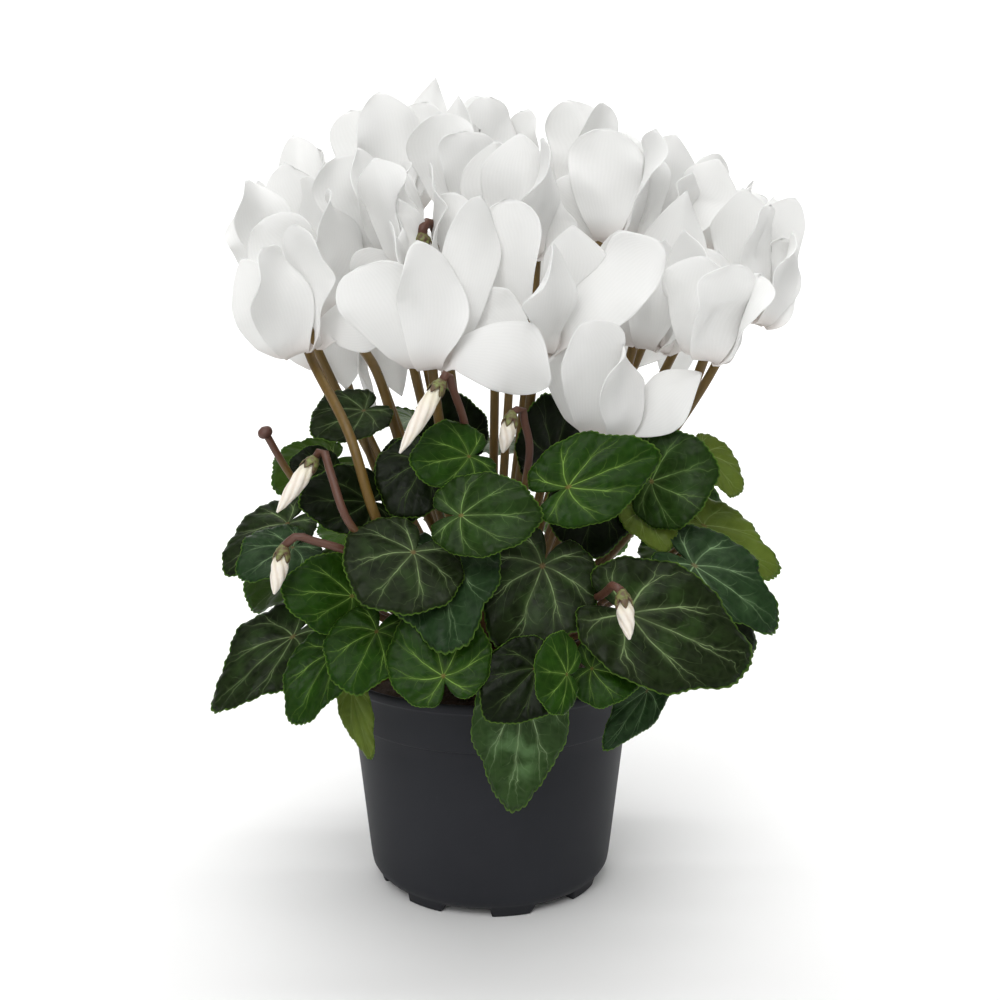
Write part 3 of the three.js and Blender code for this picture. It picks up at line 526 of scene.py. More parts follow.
def petal_material():
    """Petal tissue, grown: white air-filled cells over clear ones, so light goes in and comes out
    softly. Fine veins run from the claw to the edge, and the claw is faintly warm."""
    grains = ((9.0, 3.0), (14.0, 3.0), (0.5, 3.0))
    material, tree, _, wobble, cloud, grain = start_material("petal_tissue", *grains)
    uv = add(tree, "UVMap", uv_map="blade")
    share, side = (add(tree, "SeparateXYZ", uv, output=part) for part in (0, 1))
    sway = add(tree, "Math MULTIPLY", wobble, 9.0)
    phase = add(tree, "Math MULTIPLY_ADD", side, PETAL_VEINS, sway)
    lines = add(tree, "Math SINE", phase)
    veins = add(tree, "Math MULTIPLY_ADD", lines, 0.5, 0.5)
    claw = add(tree, "MapRange SMOOTHSTEP", share, 0.3, 0.02)
    layers = ((cloud, 0.5, "#F5F5F4"), (veins, 0.07, "#D6D8D5"), (claw, 0.55, "#E7DCD6"))
    colour = layered(tree, "#FBFBFA", *layers)
    fine = add(tree, "Math MULTIPLY", grain, 0.3)
    relief = add(tree, "Math MULTIPLY_ADD", veins, 0.7, fine)
    numbers = {"Roughness": 0.58, "Specular IOR Level": 0.3, "Sheen Weight": 0.12}
    dress(tree, colour, numbers, relief, 0.08, 0.35)
    lit = tree.nodes["Principled BSDF"].outputs[0]
    behind = add(tree, "BsdfTranslucent", {"Color": colour})
    sheet = add(tree, "MixShader", PETAL_THROUGH, lit, behind)
    set_inputs(tree, tree.nodes["Material Output"], {"Surface": sheet})
    return material


# [upper side, between the veins, veins, silver marbling, underside, strength of the marbling]
LEAF_LOOKS = {
    "bright": ("#0A1E00", "#193A03", "#7FA24A", "#305612", "#40601A", 0.20),
    # middling is bright made a little darker; on leaf 15 it stands for the shade that leaf sits in, so
    # it is partly painted shade
    "middling": ("#0B1A01", "#1B3408", "#7C9A58", "#365224", "#3C561A", 0.35),
    "bluish": ("#0C1E0A", "#1F371A", "#88A678", "#415A38", "#475D2E", 0.40),
    # dark is painted shade: a near-black copy of the leaf green for leaves that sit in shade deep in the
    # plant
    "dark": ("#020600", "#0A1402", "#4E6036", "#1A2610", "#22300F", 0.35),
    "marbled": ("#050C00", "#111E03", "#859A68", "#31481E", "#2E4314", 0.45),
    "silvered": ("#162A07", "#284317", "#A0BA88", "#58764A", "#506A2B", 0.75),
    "pale": ("#465418", "#60712B", "#8A9C5A", "#6B874C", "#6A8236", 0.10),
}
VEIN_SPACING = math.radians(48)
VEIN_BEND = 0.42
VEIN_FORK = 0.5
FORK_SPREAD = 0.34
NET_CELL = 3.4


def leaf_material(looks):
    """Leaf blade, grown: a leathery, quilted skin with a satin wax. Pale veins fan out from the
    stalk's joint, bend towards the tip, fork half-way out, break and fade; thin side veins leave
    them as chevrons, silver patches lie between them, and a pale line runs round the toothed edge.
    The underside is lighter and plain."""
    upper, between, vein, silver, under, marbling = LEAF_LOOKS[looks]
    grains = ((9.0, 3.0), (7.0, 3.0), (8.0, 4.0), (6.0, 3.0), (5.0, 2.0), (0.8, 2.0))
    started = start_material(f"leaf_{looks}", *grains, carried=("edge", "under"))
    material, tree, place, swing, breaks, blotch, mottle, wax, grain, edge, below = started
    uv = add(tree, "UVMap", uv_map="blade")
    forward, sideways = (add(tree, "SeparateXYZ", uv, output=part) for part in (0, 1))
    far = add(tree, "VectorMath LENGTH", uv, output="Value")
    # main veins: how far the nearest one is, as a share of its own width
    angle = add(tree, "Math ARCTAN2", sideways, forward)
    leaning = add(tree, "Math SINE", angle)
    drift = add(tree, "Math SUBTRACT", swing, 0.5)
    sway = add(tree, "Math MULTIPLY", drift, 0.5)
    bend = add(tree, "Math MULTIPLY_ADD", leaning, VEIN_BEND, sway)
    warped = add(tree, "Math MULTIPLY_ADD", bend, edge, angle)
    steps = add(tree, "Math MULTIPLY_ADD", warped, 1 / VEIN_SPACING, 0.5)
    part = add(tree, "Math FRACT", steps)
    beside = add(tree, "Math SUBTRACT", part, 0.5)
    off = add(tree, "Math ABSOLUTE", beside)
    outwards = add(tree, "Math SUBTRACT", edge, VEIN_FORK)
    opening = add(tree, "Math MULTIPLY", outwards, FORK_SPREAD)
    fork = add(tree, "Math MAXIMUM", opening, 0.0)
    forked = add(tree, "Math SUBTRACT", off, fork)
    away = add(tree, "Math ABSOLUTE", forked)
    gap = add(tree, "Math MULTIPLY", away, far)
    wide = add(tree, "Math MULTIPLY_ADD", edge, -0.011, 0.017)
    closeness = add(tree, "Math DIVIDE", gap, wide)
    main = add(tree, "MapRange SMOOTHSTEP", closeness, 1.0, 0.25)
    halo = add(tree, "MapRange SMOOTHSTEP", closeness, 6.0, 0.5)
    fade = add(tree, "MapRange SMOOTHSTEP", edge, 0.5, 0.98, 1.0, 0.2)
    # side veins: chevrons that point back to the joint
    lag = add(tree, "Math MULTIPLY", drift, 1.6)
    rows = add(tree, "Math MULTIPLY_ADD", edge, 5.0, lag)
    slanted = add(tree, "Math MULTIPLY_ADD", off, -2.2, rows)
    chevron = add(tree, "Math FRACT", slanted)
    across = add(tree, "Math SUBTRACT", chevron, 0.5)
    thin = add(tree, "Math ABSOLUTE", across)
    side_line = add(tree, "MapRange SMOOTHSTEP", thin, 0.05, 0.01)
    faint = add(tree, "Math MULTIPLY_ADD", off, -0.5, 0.32)
    side = add(tree, "Math MULTIPLY", side_line, faint)
    broken = add(tree, "MapRange SMOOTHSTEP", breaks, 0.38, 0.6, 0.4, 1.0)
    both = add(tree, "Math MAXIMUM", main, side)
    drawn = add(tree, "Math MULTIPLY", both, fade)
    lines = add(tree, "Math MULTIPLY", drawn, broken)
    # marbling: patches in a ring between the joint and the edge
    patches = add(tree, "MapRange SMOOTHSTEP", blotch, 0.42, 0.66)
    ring_in = add(tree, "MapRange SMOOTHSTEP", edge, 0.1, 0.4)
    ring_out = add(tree, "MapRange SMOOTHSTEP", edge, 0.9, 0.6)
    band = add(tree, "Math MULTIPLY", ring_in, ring_out)
    ring = add(tree, "Math MULTIPLY", band, patches)
    cell = {"Vector": place, "Scale": 1 / (NET_CELL * MM), "Randomness": 0.9}
    net = add(tree, "TexVoronoi DISTANCE_TO_EDGE", cell, output="Distance")
    cells = add(tree, "MapRange SMOOTHSTEP", net, 0.0, 0.5)
    seams = add(tree, "MapRange SMOOTHSTEP", net, 0.5, 0.0)
    glow = add(tree, "Math MULTIPLY", halo, fade)
    joint = add(tree, "MapRange SMOOTHSTEP", far, 0.05, 0.015)
    margin = add(tree, "MapRange SMOOTHSTEP", edge, 0.97, 0.998)
    lower = layered(tree, under, (lines, 0.6, "#93A65C"))
    colour = layered(
        tree, upper, (mottle, 1, between), (seams, 0.03, vein), (ring, marbling, silver),
        (glow, 0.13, vein), (lines, 0.85, vein), (joint, 0.6, "#6B3F2A"), (margin, 0.6, "#6E9638"),
        (below, 1, lower),
    )
    gloss = add(tree, "Math MULTIPLY_ADD", wax, 0.3, 0.24)
    sunk = add(tree, "Math MULTIPLY", main, -0.4)
    quilt = add(tree, "Math MULTIPLY_ADD", cells, 0.32, sunk)
    relief = add(tree, "Math MULTIPLY_ADD", grain, 0.15, quilt)
    numbers = {
        "Roughness": gloss, "Specular IOR Level": 0.09, "Subsurface Weight": 0.05,
        "Subsurface Radius": (0.4, 1.0, 0.2), "Subsurface Scale": 0.002,
    }
    dress(tree, colour, numbers, relief, 0.5, 0.7)
    return material


def stalk_material():
    """Stalk skin, grown: juicy, smooth and faintly hairy, olive brown above and wine brown at the
    crown and in the hook, with fine lengthwise streaks."""
    material, tree, place, rise, hook = start_material("stalk_skin", carried=("rise", "hook"))
    stretched = add(tree, "Mapping", {0: place, 3: (1.0, 1.0, 0.08)})
    streaks = add(tree, "TexNoise", {"Vector": stretched, "Scale": 1 / (1.2 * MM), "Detail": 3.0})
    risen = add(tree, "MapRange SMOOTHSTEP", rise, 0.1, 0.75)
    olive = layered(tree, "#74581A", (streaks, 1, "#4E3D15"))
    crown = layered(tree, "#5A3820", (streaks, 1, "#3E2618"))
    colour = layered(tree, crown, (risen, 1, olive), (hook, 0.9, "#553329"))
    numbers = {
        "Roughness": 0.5, "Subsurface Weight": 0.1,
        "Subsurface Radius": (1.0, 0.5, 0.2), "Subsurface Scale": 0.002,
    }
    dress(tree, colour, numbers, streaks, 0.15, 0.6)
    return material


def calyx_material():
    """Sepal skin, grown: green with brown veins and wine brown edges."""
    material, tree, _, stain, rim = start_material("sepal_skin", (1.6, 3.0), carried=("rim",))
    blotch = add(tree, "MapRange SMOOTHSTEP", stain, 0.35, 0.65)
    colour = layered(tree, "#7E8C4A", (blotch, 1, "#5A4A30"), (rim, 1, "#593A30"))
    dress(tree, colour, {"Roughness": 0.55}, blotch, 0.1, 0.5)
    return material


def bud_material():
    """Furled petals, grown: cream white, a little greenish at the calyx, and a darker tan in the grooves
    between the folds, which turn round the bud."""
    started = start_material("bud_petals", (1.5, 3.0), carried=("share", "fold"))
    material, tree, _, grain, share, fold = started
    fresh = add(tree, "MapRange SMOOTHSTEP", share, 0.4, 0.0)
    layers = ((grain, 1, "#E8DFD2"), (fold, 0.45, "#C9B8A4"), (fresh, 0.4, "#D8D6A8"))
    numbers = {
        "Roughness": 0.55, "Subsurface Weight": 0.3,
        "Subsurface Radius": (1.0, 0.9, 0.7), "Subsurface Scale": 0.003,
    }
    dress(tree, layered(tree, "#F4EEE4", *layers), numbers, grain, 0.08, 0.5)
    return material


def pot_material():
    """Polypropylene, injection moulded: charcoal, with a fine spark-eroded grain that spreads the
    light into a soft sheen, and faint scuffs from handling."""
    grains = ((30.0, 3.0), (2.2, 6.0), (0.45, 2.0))
    material, tree, _, cloud, wear, grain = start_material("moulded_polypropylene", *grains)
    scuffs = add(tree, "MapRange SMOOTHSTEP", wear, 0.62, 0.8)
    colour = layered(tree, "#27282C", (cloud, 1, "#2F3034"), (scuffs, 0.2, "#3A3B3F"))
    gloss = add(tree, "Math MULTIPLY_ADD", cloud, 0.1, 0.46)
    dress(tree, colour, {"Roughness": gloss, "Specular IOR Level": 0.1}, grain, 0.05, 0.5)
    return material


def soil_material():
    """Peat potting soil, loose: dark brown crumbs, pale fibres and a few light specks."""
    material, tree, _, crumbs, specks = start_material("peat_soil", (2.2, 5.0), (0.9, 6.0))
    fibres = add(tree, "MapRange SMOOTHSTEP", specks, 0.6, 0.7)
    colour = layered(tree, "#1E140D", (crumbs, 1, "#4B3422"), (fibres, 0.5, "#7B6247"))
    dress(tree, colour, {"Roughness": 0.95}, crumbs, 1.2, 0.9)
    return material


def tuber_material():
    """Tuber cork, grown: a dry brown skin, cracked into small plates."""
    material, tree, place, shade = start_material("tuber_cork", (5.0, 3.0))
    plate = {"Vector": place, "Scale": 1 / (3.0 * MM)}
    seam = add(tree, "TexVoronoi DISTANCE_TO_EDGE", plate, output="Distance")
    cracks = add(tree, "MapRange SMOOTHSTEP", seam, 0.0, 0.12)
    bark = layered(tree, "#5A4028", (shade, 1, "#7A5B3C"))
    colour = layered(tree, "#2B1B10", (cracks, 1, bark))
    dress(tree, colour, {"Roughness": 0.85}, cracks, 0.5, 0.8)
    return material


def anther_material():
    """Pollen and style, grown: dull yellow, matt."""
    material, tree, _, dust = start_material("pollen", (0.6, 3.0))
    dress(tree, layered(tree, "#D9B54A", (dust, 1, "#A9832B")), {"Roughness": 0.8})
    return material


PETAL = petal_material()
LEAF = {looks: leaf_material(looks) for looks in LEAF_LOOKS}
STALK = stalk_material()
CALYX = calyx_material()
BUD = bud_material()
POT = pot_material()
SOIL = soil_material()
TUBER = tuber_material()
ANTHER = anther_material()


# ---- leaves ----
def heart_radius(a, point):
    """Outline of the heart-shaped blade round the stalk's joint, at an angle a from the tip:
    0.5 + 0.14 cos a + 0.04 cos 2a as a share of its value at the tip, drawn in beside the tip by
    the point, a little behind, and to a notch at the back."""
    outline = (0.5 + 0.14 * np.cos(a) + 0.04 * np.cos(2 * a)) / 0.68
    beside_tip = point * np.exp(-(((np.abs(a) - 0.62) / 0.36) ** 2))
    from_notch = math.pi - np.abs(a)
    behind = 0.36 * np.exp(-((from_notch / 0.85) ** 2))
    notch = 0.86 * np.exp(-((from_notch / 0.24) ** 2))
    return outline * (1 - beside_tip) * (1 - behind) * (1 - notch)


def leaf_frame(leaf):
    """The blade's own directions: along its midrib, across it, and its normal, which faces
    outwards and up from the plant."""
    _, joint, tip, _, roll = leaf[:5]
    along = vec(tip) - vec(joint)
    length = np.linalg.norm(along)
    along = along / length
    depth = joint[1] + (-FACING_DEPTH if joint[1] < 10 else FACING_DEPTH)
    facing = unit(vec((FACING_SIDE * joint[0], depth, 0))) + UP * FACING_UP
    normal = unit(facing - along * (facing @ along))
    normal = turned_about(normal[None], along, np.array([math.radians(roll)]))[0]
    return vec(joint), along, np.cross(normal, along), normal, length


def blade_height(t, s, leaf):
    """Height over the joint's plane, in joint-to-tip lengths: an arched midrib, two halves that
    rise from it as a trough and fall again, and a waved edge."""
    cup, arch = leaf[5], leaf[6]
    wave = 0.05 * (t * t + s * s) * np.sin(5 * np.arctan2(s, t) + 7 * draw(int(leaf[0])))
    midrib = np.where(t > 0, 2 * arch * t * (1 - t), 0.4 * arch * t)
    return cup * np.abs(s) - 0.7 * cup * s * s + midrib + wave


LEAF_ANGLES = 256
LEAF_RINGS = 13
LEAF_TEETH = 64
TOOTH_DEPTH = 0.022
LOBE_DEPTH = 0.018
VEIN_QUILT = 0.035
EDGE_RIPPLE = 0.012
ABOVE_MIDDLE = 0.25 * LEAF_THICK
BELOW_MIDDLE = 0.45 * LEAF_THICK


def build_leaf(leaf):
    """A blade: rings at even shares of the way from the joint to the toothed and lobed edge. It
    bulges by the square of a sine between the veins and ripples by a sine at the edge, and its two
    faces meet there."""
    name, _, _, width, _, _, _, point, looks = leaf
    origin, along, across, normal, length = leaf_frame(leaf)
    widen = width / (HEART_WIDTH * length)
    number = int(name)
    angle = np.linspace(-math.pi, math.pi, LEAF_ANGLES, endpoint=False)
    share = np.linspace(0, 1, LEAF_RINGS + 1)[1:, None]
    tooth = 0.5 - np.abs(np.sin(0.5 * LEAF_TEETH * angle + draw(number)))
    lobes = LOBE_DEPTH * np.sin(11 * angle + 6 * draw(number + 0.4)) * share**2
    edge_radius = heart_radius(angle, point)[None] * (1 - TOOTH_DEPTH * tooth[None] * share**9 + lobes)
    r = share * edge_radius
    t = r * np.cos(angle)
    s = r * np.sin(angle)
    vein_phase = (angle + VEIN_BEND * share * np.sin(angle)) / VEIN_SPACING
    bulge = np.sin(math.pi * vein_phase) ** 2 * share * (1 - share**3) * VEIN_QUILT
    ripple = EDGE_RIPPLE * share**6 * np.sin(23 * angle + 9 * draw(number + 0.7))
    height = blade_height(t, widen * s, leaf) + bulge + ripple
    flat = np.stack([t, s], axis=-1)
    blade = t[..., None] * along + widen * s[..., None] * across + height[..., None] * normal
    grid = origin + length * blade
    radial = np.gradient(grid, axis=0)
    around = np.roll(grid, -1, axis=1) - np.roll(grid, 1, axis=1)
    normals = unit(np.cross(radial, around))
    rings, cols = r.shape
    upper = grid.copy()
    upper[:-1] += ABOVE_MIDDLE * normals[:-1]
    lower = grid[:-1] - BELOW_MIDDLE * normals[:-1]
    centre = np.stack([origin + ABOVE_MIDDLE * normal, origin - BELOW_MIDDLE * normal])
    points = np.concatenate([centre, upper.reshape(-1, 3), lower.reshape(-1, 3)])
    top = 2 + np.arange(rings * cols).reshape(rings, cols)
    bottom = top.copy()
    bottom[:-1] = 2 + rings * cols + np.arange((rings - 1) * cols).reshape(rings - 1, cols)
    faces = np.concatenate([
        fan(0, top[0]),
        quads(top, closed=True)[:, ::-1],
        fan(1, bottom[0][::-1]),
        quads(bottom, closed=True),
    ])
    uv = np.concatenate([np.zeros((2, 2)), flat.reshape(-1, 2), flat[:-1].reshape(-1, 2)])
    edge = np.broadcast_to(share, r.shape)
    edges = np.concatenate([[0, 0], edge.reshape(-1), edge[:-1].reshape(-1)])
    under = np.concatenate([[0, 1], np.zeros(rings * cols), np.ones((rings - 1) * cols)])
    shape = Shape()
    shape.add(points, faces, uv, edge=edges, under=under)
    write_piece(f"leaf_{name}", shape, LEAF[looks], [node_with("leaf", name)])


for leaf in LEAVES:
    build_leaf(leaf)


# ---- flowers ----
class Bloom:
    """A flower's own frame: its axis leans away from the plant's middle, and turns round it are
    counted from the side that faces +X."""

    def __init__(self, row):
        self.name, mouth, self.stalk_turn, self.given = row
        self.mouth = vec(mouth)
        self.axis = unit(vec((mouth[0], mouth[1], UPRIGHT)))
        self.east = unit(vec((1, 0, 0)) - self.axis * self.axis[0])
        self.north = np.cross(self.axis, self.east)

    def towards(self, degrees):
        """Direction square to the axis at a turn round it."""
        turn = math.radians(degrees)
        return self.east * math.cos(turn) + self.north * math.sin(turn)

    def at(self, side, r, z):
        """Place at a distance from the axis on one side, and a height over the mouth."""
        return self.mouth + side * r + self.axis * z

    def petals(self):
        """Each petal as [turn of its root, its own turn, opening, length, width, twist]."""
        rows = []
        for place in range(1, 6):
            root = self.stalk_turn + 60 * place
            own = [petal for petal in self.given if petal[0] == place]
            seed = 10 * int(self.name) + place
            if own:
                rows.append([root, root + own[0][1], *own[0][2:]])
                continue
            opening = PETAL_OPEN + PETAL_OPEN_SPREAD * draw(seed)
            length = PETAL_LENGTH + 6 * draw(seed + 0.3)
            width = PETAL_WIDTH + 3 * draw(seed + 0.6)
            rows.append([root, root, opening, length, width, PETAL_TWIST])
        return rows

    def petal_line(self, root, turn, opening, length):
        """Middle line: out of the mouth and down, back in a small arc, and out along its turn."""
        start = self.towards(root)
        side = self.towards(turn)
        lean = math.radians(opening)
        reach = length - FOLD
        r = MOUTH_RADIUS + FOLD_RADIUS
        half_way = self.at(side, r + 0.5 * reach * math.sin(lean), 2 + 0.5 * reach * math.cos(lean))
        return catmull_rom([
            self.at(start, MOUTH_RADIUS, 1),
            self.at(start, MOUTH_RADIUS + 0.55 * FOLD_RADIUS, -1.6),
            self.at(start, r + 2 * math.sin(lean), 2.5 + 2 * math.cos(lean)),
            half_way - 0.6 * start,
            self.at(side, r + reach * math.sin(1.1 * lean), 2 + reach * math.cos(1.1 * lean)),
        ])


PETAL_ROWS = 35
PETAL_COLS = 19
PETAL_THICK = 0.4
PETAL_SPIN = math.radians(44)
# shares of a petal's width: how far it bends aside, bows, waves, ruffles, folds and curls
PETAL_BEND = 0.22
PETAL_CUP = 0.16
PETAL_WAVE = 0.34
PETAL_RUFFLE = 0.14
PETAL_CREASE = 0.62
PETAL_CURL = 0.2


def petal_half_width(share, side, seed):
    """Half the petal's width as a share of its widest, on either side of its middle: a claw that
    widens along a power of a sine to the widest place, from there half of an oval whose end is
    between rounded and pointed, and a slow wave in the outline that differs between the sides."""
    widest = 0.62 + 0.14 * draw(seed + 0.15)
    fullness = 1.1 + 0.5 * draw(seed + 0.25)
    rising = 0.2 + 0.8 * np.sin(0.5 * math.pi * np.clip(share / widest, 0, 1)) ** fullness
    beyond = np.clip((share - widest) / (1 - widest), 0, 1)
    blunt = draw(seed + 0.35)
    falling = (1 - beyond ** (1.4 + 1.4 * blunt)) ** (0.95 - 0.45 * blunt)
    outline = 1 + 0.07 * share * np.sin(9 * share + 6 * draw(seed + 0.45) + 2 * side)
    return 0.5 * rising * np.maximum(falling, 0.03) * outline


def petal_middle(bloom, petal, seed):
    """Middle surface of a petal: at each share s of its middle line a row of points across it, at
    w from -1 to 1. It turns by the twist and then evenly by the spin, bows by w squared, folds by
    the root of w squared, curls at the tip by s cubed, and its edges wave and ruffle by sines that
    grow with s. The whole petal bends to one side."""
    root, turn, opening, length, width, twist = petal
    share = np.linspace(0, 1, PETAL_ROWS) ** 0.92
    line, along = walk(bloom.petal_line(root, turn, opening, length), share)
    around = np.cross(bloom.axis, bloom.towards(root))
    across = unit(around - along * (along @ around)[:, None])
    spin = math.radians(twist) * np.minimum(1, 4 * share) + PETAL_SPIN * (share - 0.35)
    across = turned_about(across, along, spin)
    normal = np.cross(across, along)
    w = np.sin(0.5 * math.pi * np.linspace(-1, 1, PETAL_COLS))[None]
    s = share[:, None]
    half = petal_half_width(s, np.sign(w), seed)
    drift = PETAL_BEND * width * (draw(seed + 0.9) - 0.5) * np.sin(math.pi * s) * s
    cup = PETAL_CUP * width * half * w**2 * (1 - 0.7 * s)
    wave = PETAL_WAVE * width * half * s * w * np.sin(7 * s + 6 * draw(seed))
    ruffle = PETAL_RUFFLE * width * half * s**1.5 * np.abs(w) ** 3
    ruffle = ruffle * np.sin(15 * s + 9 * draw(seed + 0.2) + 2 * np.sign(w))
    fold = PETAL_CREASE * (draw(seed + 0.5) - 0.45)
    crease = fold * width * half * (np.sqrt(w**2 + 0.02) - 0.14) * s
    curl = -PETAL_CURL * width * s**3 * (draw(seed + 0.8) - 0.3)
    grid = (
        line[:, None]
        + across[:, None] * (half * width * w + drift)[..., None]
        + normal[:, None] * (cup + wave + ruffle + crease + curl)[..., None]
    )
    return grid, np.stack(np.broadcast_arrays(s, w), axis=-1)


# parting petals, in millimetres: the room left between two, how far aside of a point and how far
# from it another petal's still counts, and the longest step of one round
SETTLE_ROUNDS = 6
CLEARANCE = 0.8
BESIDE = 2.4
REACH = 7.0
LONGEST_STEP = 3.0


def blurred(field):
    """A grid of vectors with each one averaged with its neighbours along and across."""
    wide = np.pad(field, ((1, 1), (0, 0), (0, 0)), mode="edge")
    field = 0.25 * (wide[:-2] + 2 * wide[1:-1] + wide[2:])
    wide = np.pad(field, ((0, 0), (1, 1), (0, 0)), mode="edge")
    return 0.25 * (wide[:, :-2] + 2 * wide[:, 1:-1] + wide[:, 2:])


def pushes(points, others, normals):
    """How far the points of one petal must move to lie on one side of another petal: on the side
    where most of those that face it already are, by the clearance."""
    gap = points[:, None] - others[None]
    nearest = np.argmin(np.einsum("ijk,ijk->ij", gap, gap), axis=1)
    offset = gap[np.arange(len(points)), nearest]
    facing = normals[nearest]
    height = np.sum(offset * facing, axis=1)
    beside = np.linalg.norm(offset - facing * height[:, None], axis=1)
    meets = (beside < BESIDE) & (np.abs(height) < REACH)
    if meets.sum() < 3:
        return None
    side = 1.0 if height[meets].sum() > 0 else -1.0
    lack = np.clip(CLEARANCE - side * height, 0, REACH) * meets
    return facing * (0.5 * side * lack)[:, None]


def settle(petals):
    """Part the petals where they cross, as real ones do by leaning on each other: on every second
    row and column, each petal is pushed off those it meets, the push is smoothed, and the claws
    stay where they are. The result is the moved grids."""
    coarse = petals[:, ::2, ::2].copy()
    count, rows, cols = coarse.shape[:3]
    hold = np.minimum(1, 3 * np.linspace(0, 1, rows))[:, None, None]
    for _ in range(SETTLE_ROUNDS):
        low = coarse.min(axis=(1, 2)) - 1
        high = coarse.max(axis=(1, 2)) + 1
        normals = unit(np.cross(np.gradient(coarse, axis=2), np.gradient(coarse, axis=1)))
        shift = np.zeros_like(coarse)
        for i in range(count):
            apart = np.any((low > high[i]) | (high < low[i]), axis=1)
            for j in np.flatnonzero(~apart):
                if i == j:
                    continue
                one, other, facing = (g.reshape(-1, 3) for g in (coarse[i], coarse[j], normals[j]))
                push = pushes(one, other, facing)
                if push is not None:
                    shift[i] += push.reshape(rows, cols, 3)
            shift[i] = blurred(blurred(shift[i])) * hold
        coarse += np.clip(shift, -LONGEST_STEP, LONGEST_STEP)
    moved = coarse - petals[:, ::2, ::2]
    finer = np.zeros_like(petals)
    finer[:, ::2, ::2] = moved
    finer[:, 1::2, ::2] = 0.5 * (moved[:, :-1] + moved[:, 1:])
    finer[:, :, 1::2] = 0.5 * (finer[:, :, :-1:2] + finer[:, :, 2::2])
    return petals + finer


def add_flower_tube(shape, bloom):
    """The short bulging tube, hollow from the mouth: a profile turned about the flower's axis."""
    profile = [
        (0.0, 6.8), (2.2, 6.4), (2.6, 4.0), (2.5, 1.0), (2.9, -0.5), (3.5, -0.6), (4.0, 0.6),
        (4.3, 3.0), (4.1, 5.6), (3.5, 7.6), (2.4, TUBE_LENGTH), (0.0, TUBE_LENGTH),
    ]
    radii, heights = vec(profile).T[:, :, None, None]
    ring = circle(bloom.east, bloom.north, turns(20))
    rings = bloom.mouth + ring * radii[1:-1] + bloom.axis * heights[1:-1]
    poles = bloom.mouth + bloom.axis * heights[[0, -1], 0]
    claw = np.full((rings.size // 3 + 2, 2), 0.05)
    shape.add_round(rings, poles, claw, under=0.0)


def build_flowers():
    """Every flower: its five petals, parted from each other and from their neighbours, and its
    tube."""
    blooms = [Bloom(row) for row in BLOOMS]
    grids = []
    maps = []
    for bloom in blooms:
        for order, petal in enumerate(bloom.petals()):
            grid, uv = petal_middle(bloom, petal, 10 * int(bloom.name) + order)
            grids.append(grid)
            maps.append(uv)
    grids = settle(np.array(grids))
    for number, bloom in enumerate(blooms):
        shape = Shape()
        add_flower_tube(shape, bloom)
        for k in range(5 * number, 5 * number + 5):
            thin_sheet(shape, grids[k], PETAL_THICK, maps[k])
        write_piece(f"flower_{bloom.name}", shape, PETAL, [node_with("flower", bloom.name)])


build_flowers()


def build_anthers():
    """The cone of anthers and the style inside each mouth, which hangs just out of it."""
    shape = Shape()
    shares = np.linspace(0, 1, 7)
    radii = np.array([1.5, 1.7, 1.5, 1.1, 0.5, 0.4, 0.25])
    for row in BLOOMS:
        bloom = Bloom(row)
        points = bloom.mouth + bloom.axis * (6.0 - 7.5 * shares)[:, None]
        tangents = np.broadcast_to(-bloom.axis, points.shape)
        tube(shape, points, tangents, radii, 8)
    write_piece("anthers", shape, ANTHER, [])


build_anthers()


# ---- stalks ----
def crown(target, share, least):
    """Where a stalk leaves the tuber's crown: on the side that it goes to."""
    away = vec((target[0] - TUBER_MIDDLE[0], target[1] - TUBER_MIDDLE[1], 0))
    reach = min(TUBER_RADIUS - 3, share * np.linalg.norm(away) + least)
    drop = TUBER_HEIGHT * math.sqrt(1 - (reach / TUBER_RADIUS) ** 2)
    return TUBER_MIDDLE + unit(away) * reach + UP * (drop - 2)


def leaf_root(target):
    """Where a leaf's stalk starts."""
    return crown(target, 0.16, 5)


def flower_root(target):
    """Where a flower's or a bud's stalk starts, nearer the crown's middle."""
    return crown(target, 0.12, 1)


def sweep(start, end, arrive, rise, steps):
    """Points of a stalk that rises from the crown and arrives at its end along a given vector."""
    lower = start + (end - start) * 0.25 + UP * rise
    points, _ = walk(bezier([start, lower, end - arrive, end]), np.linspace(0, 1, steps))
    return points


CROWN_SWELL = 0.25
HOOK_BLEND = 0.08
SHAFT_RISE = 110.0


def add_stalk(shape, points, radius, hook_from, steps):
    """A smooth tube through the points. It carries its rise over the tuber and where its hook is,
    and swells at the crown by an exponential that dies away along it."""
    shares = np.linspace(0, 1, steps)
    line, tangents = walk(catmull_rom(points), shares)
    radii = radius * (1 + CROWN_SWELL * np.exp(-shares * 9))
    rise = np.clip((line[:, 2] - TUBER_MIDDLE[2]) / SHAFT_RISE, 0, 1)
    hook = np.clip((shares - hook_from) / HOOK_BLEND, 0, 1)
    tube(shape, line, tangents, radii, 10, rise=rise, hook=hook)


def build_leaf_stalks():
    """Each leaf's stalk, from the crown up to the underside of the blade's joint."""
    shape = Shape()
    for leaf in LEAVES:
        joint, along, _, normal, _ = leaf_frame(leaf)
        end = joint + along * 1.2 - normal * 0.5 * LEAF_THICK
        root = leaf_root(end)
        arrive = normal * 0.25 * np.linalg.norm(end - root)
        add_stalk(shape, sweep(root, end, arrive, 14, 12), LEAF_STALK, 2.0, 30)
    write_piece("leaf_stalks", shape, STALK, ["tuber_and_stalks"])


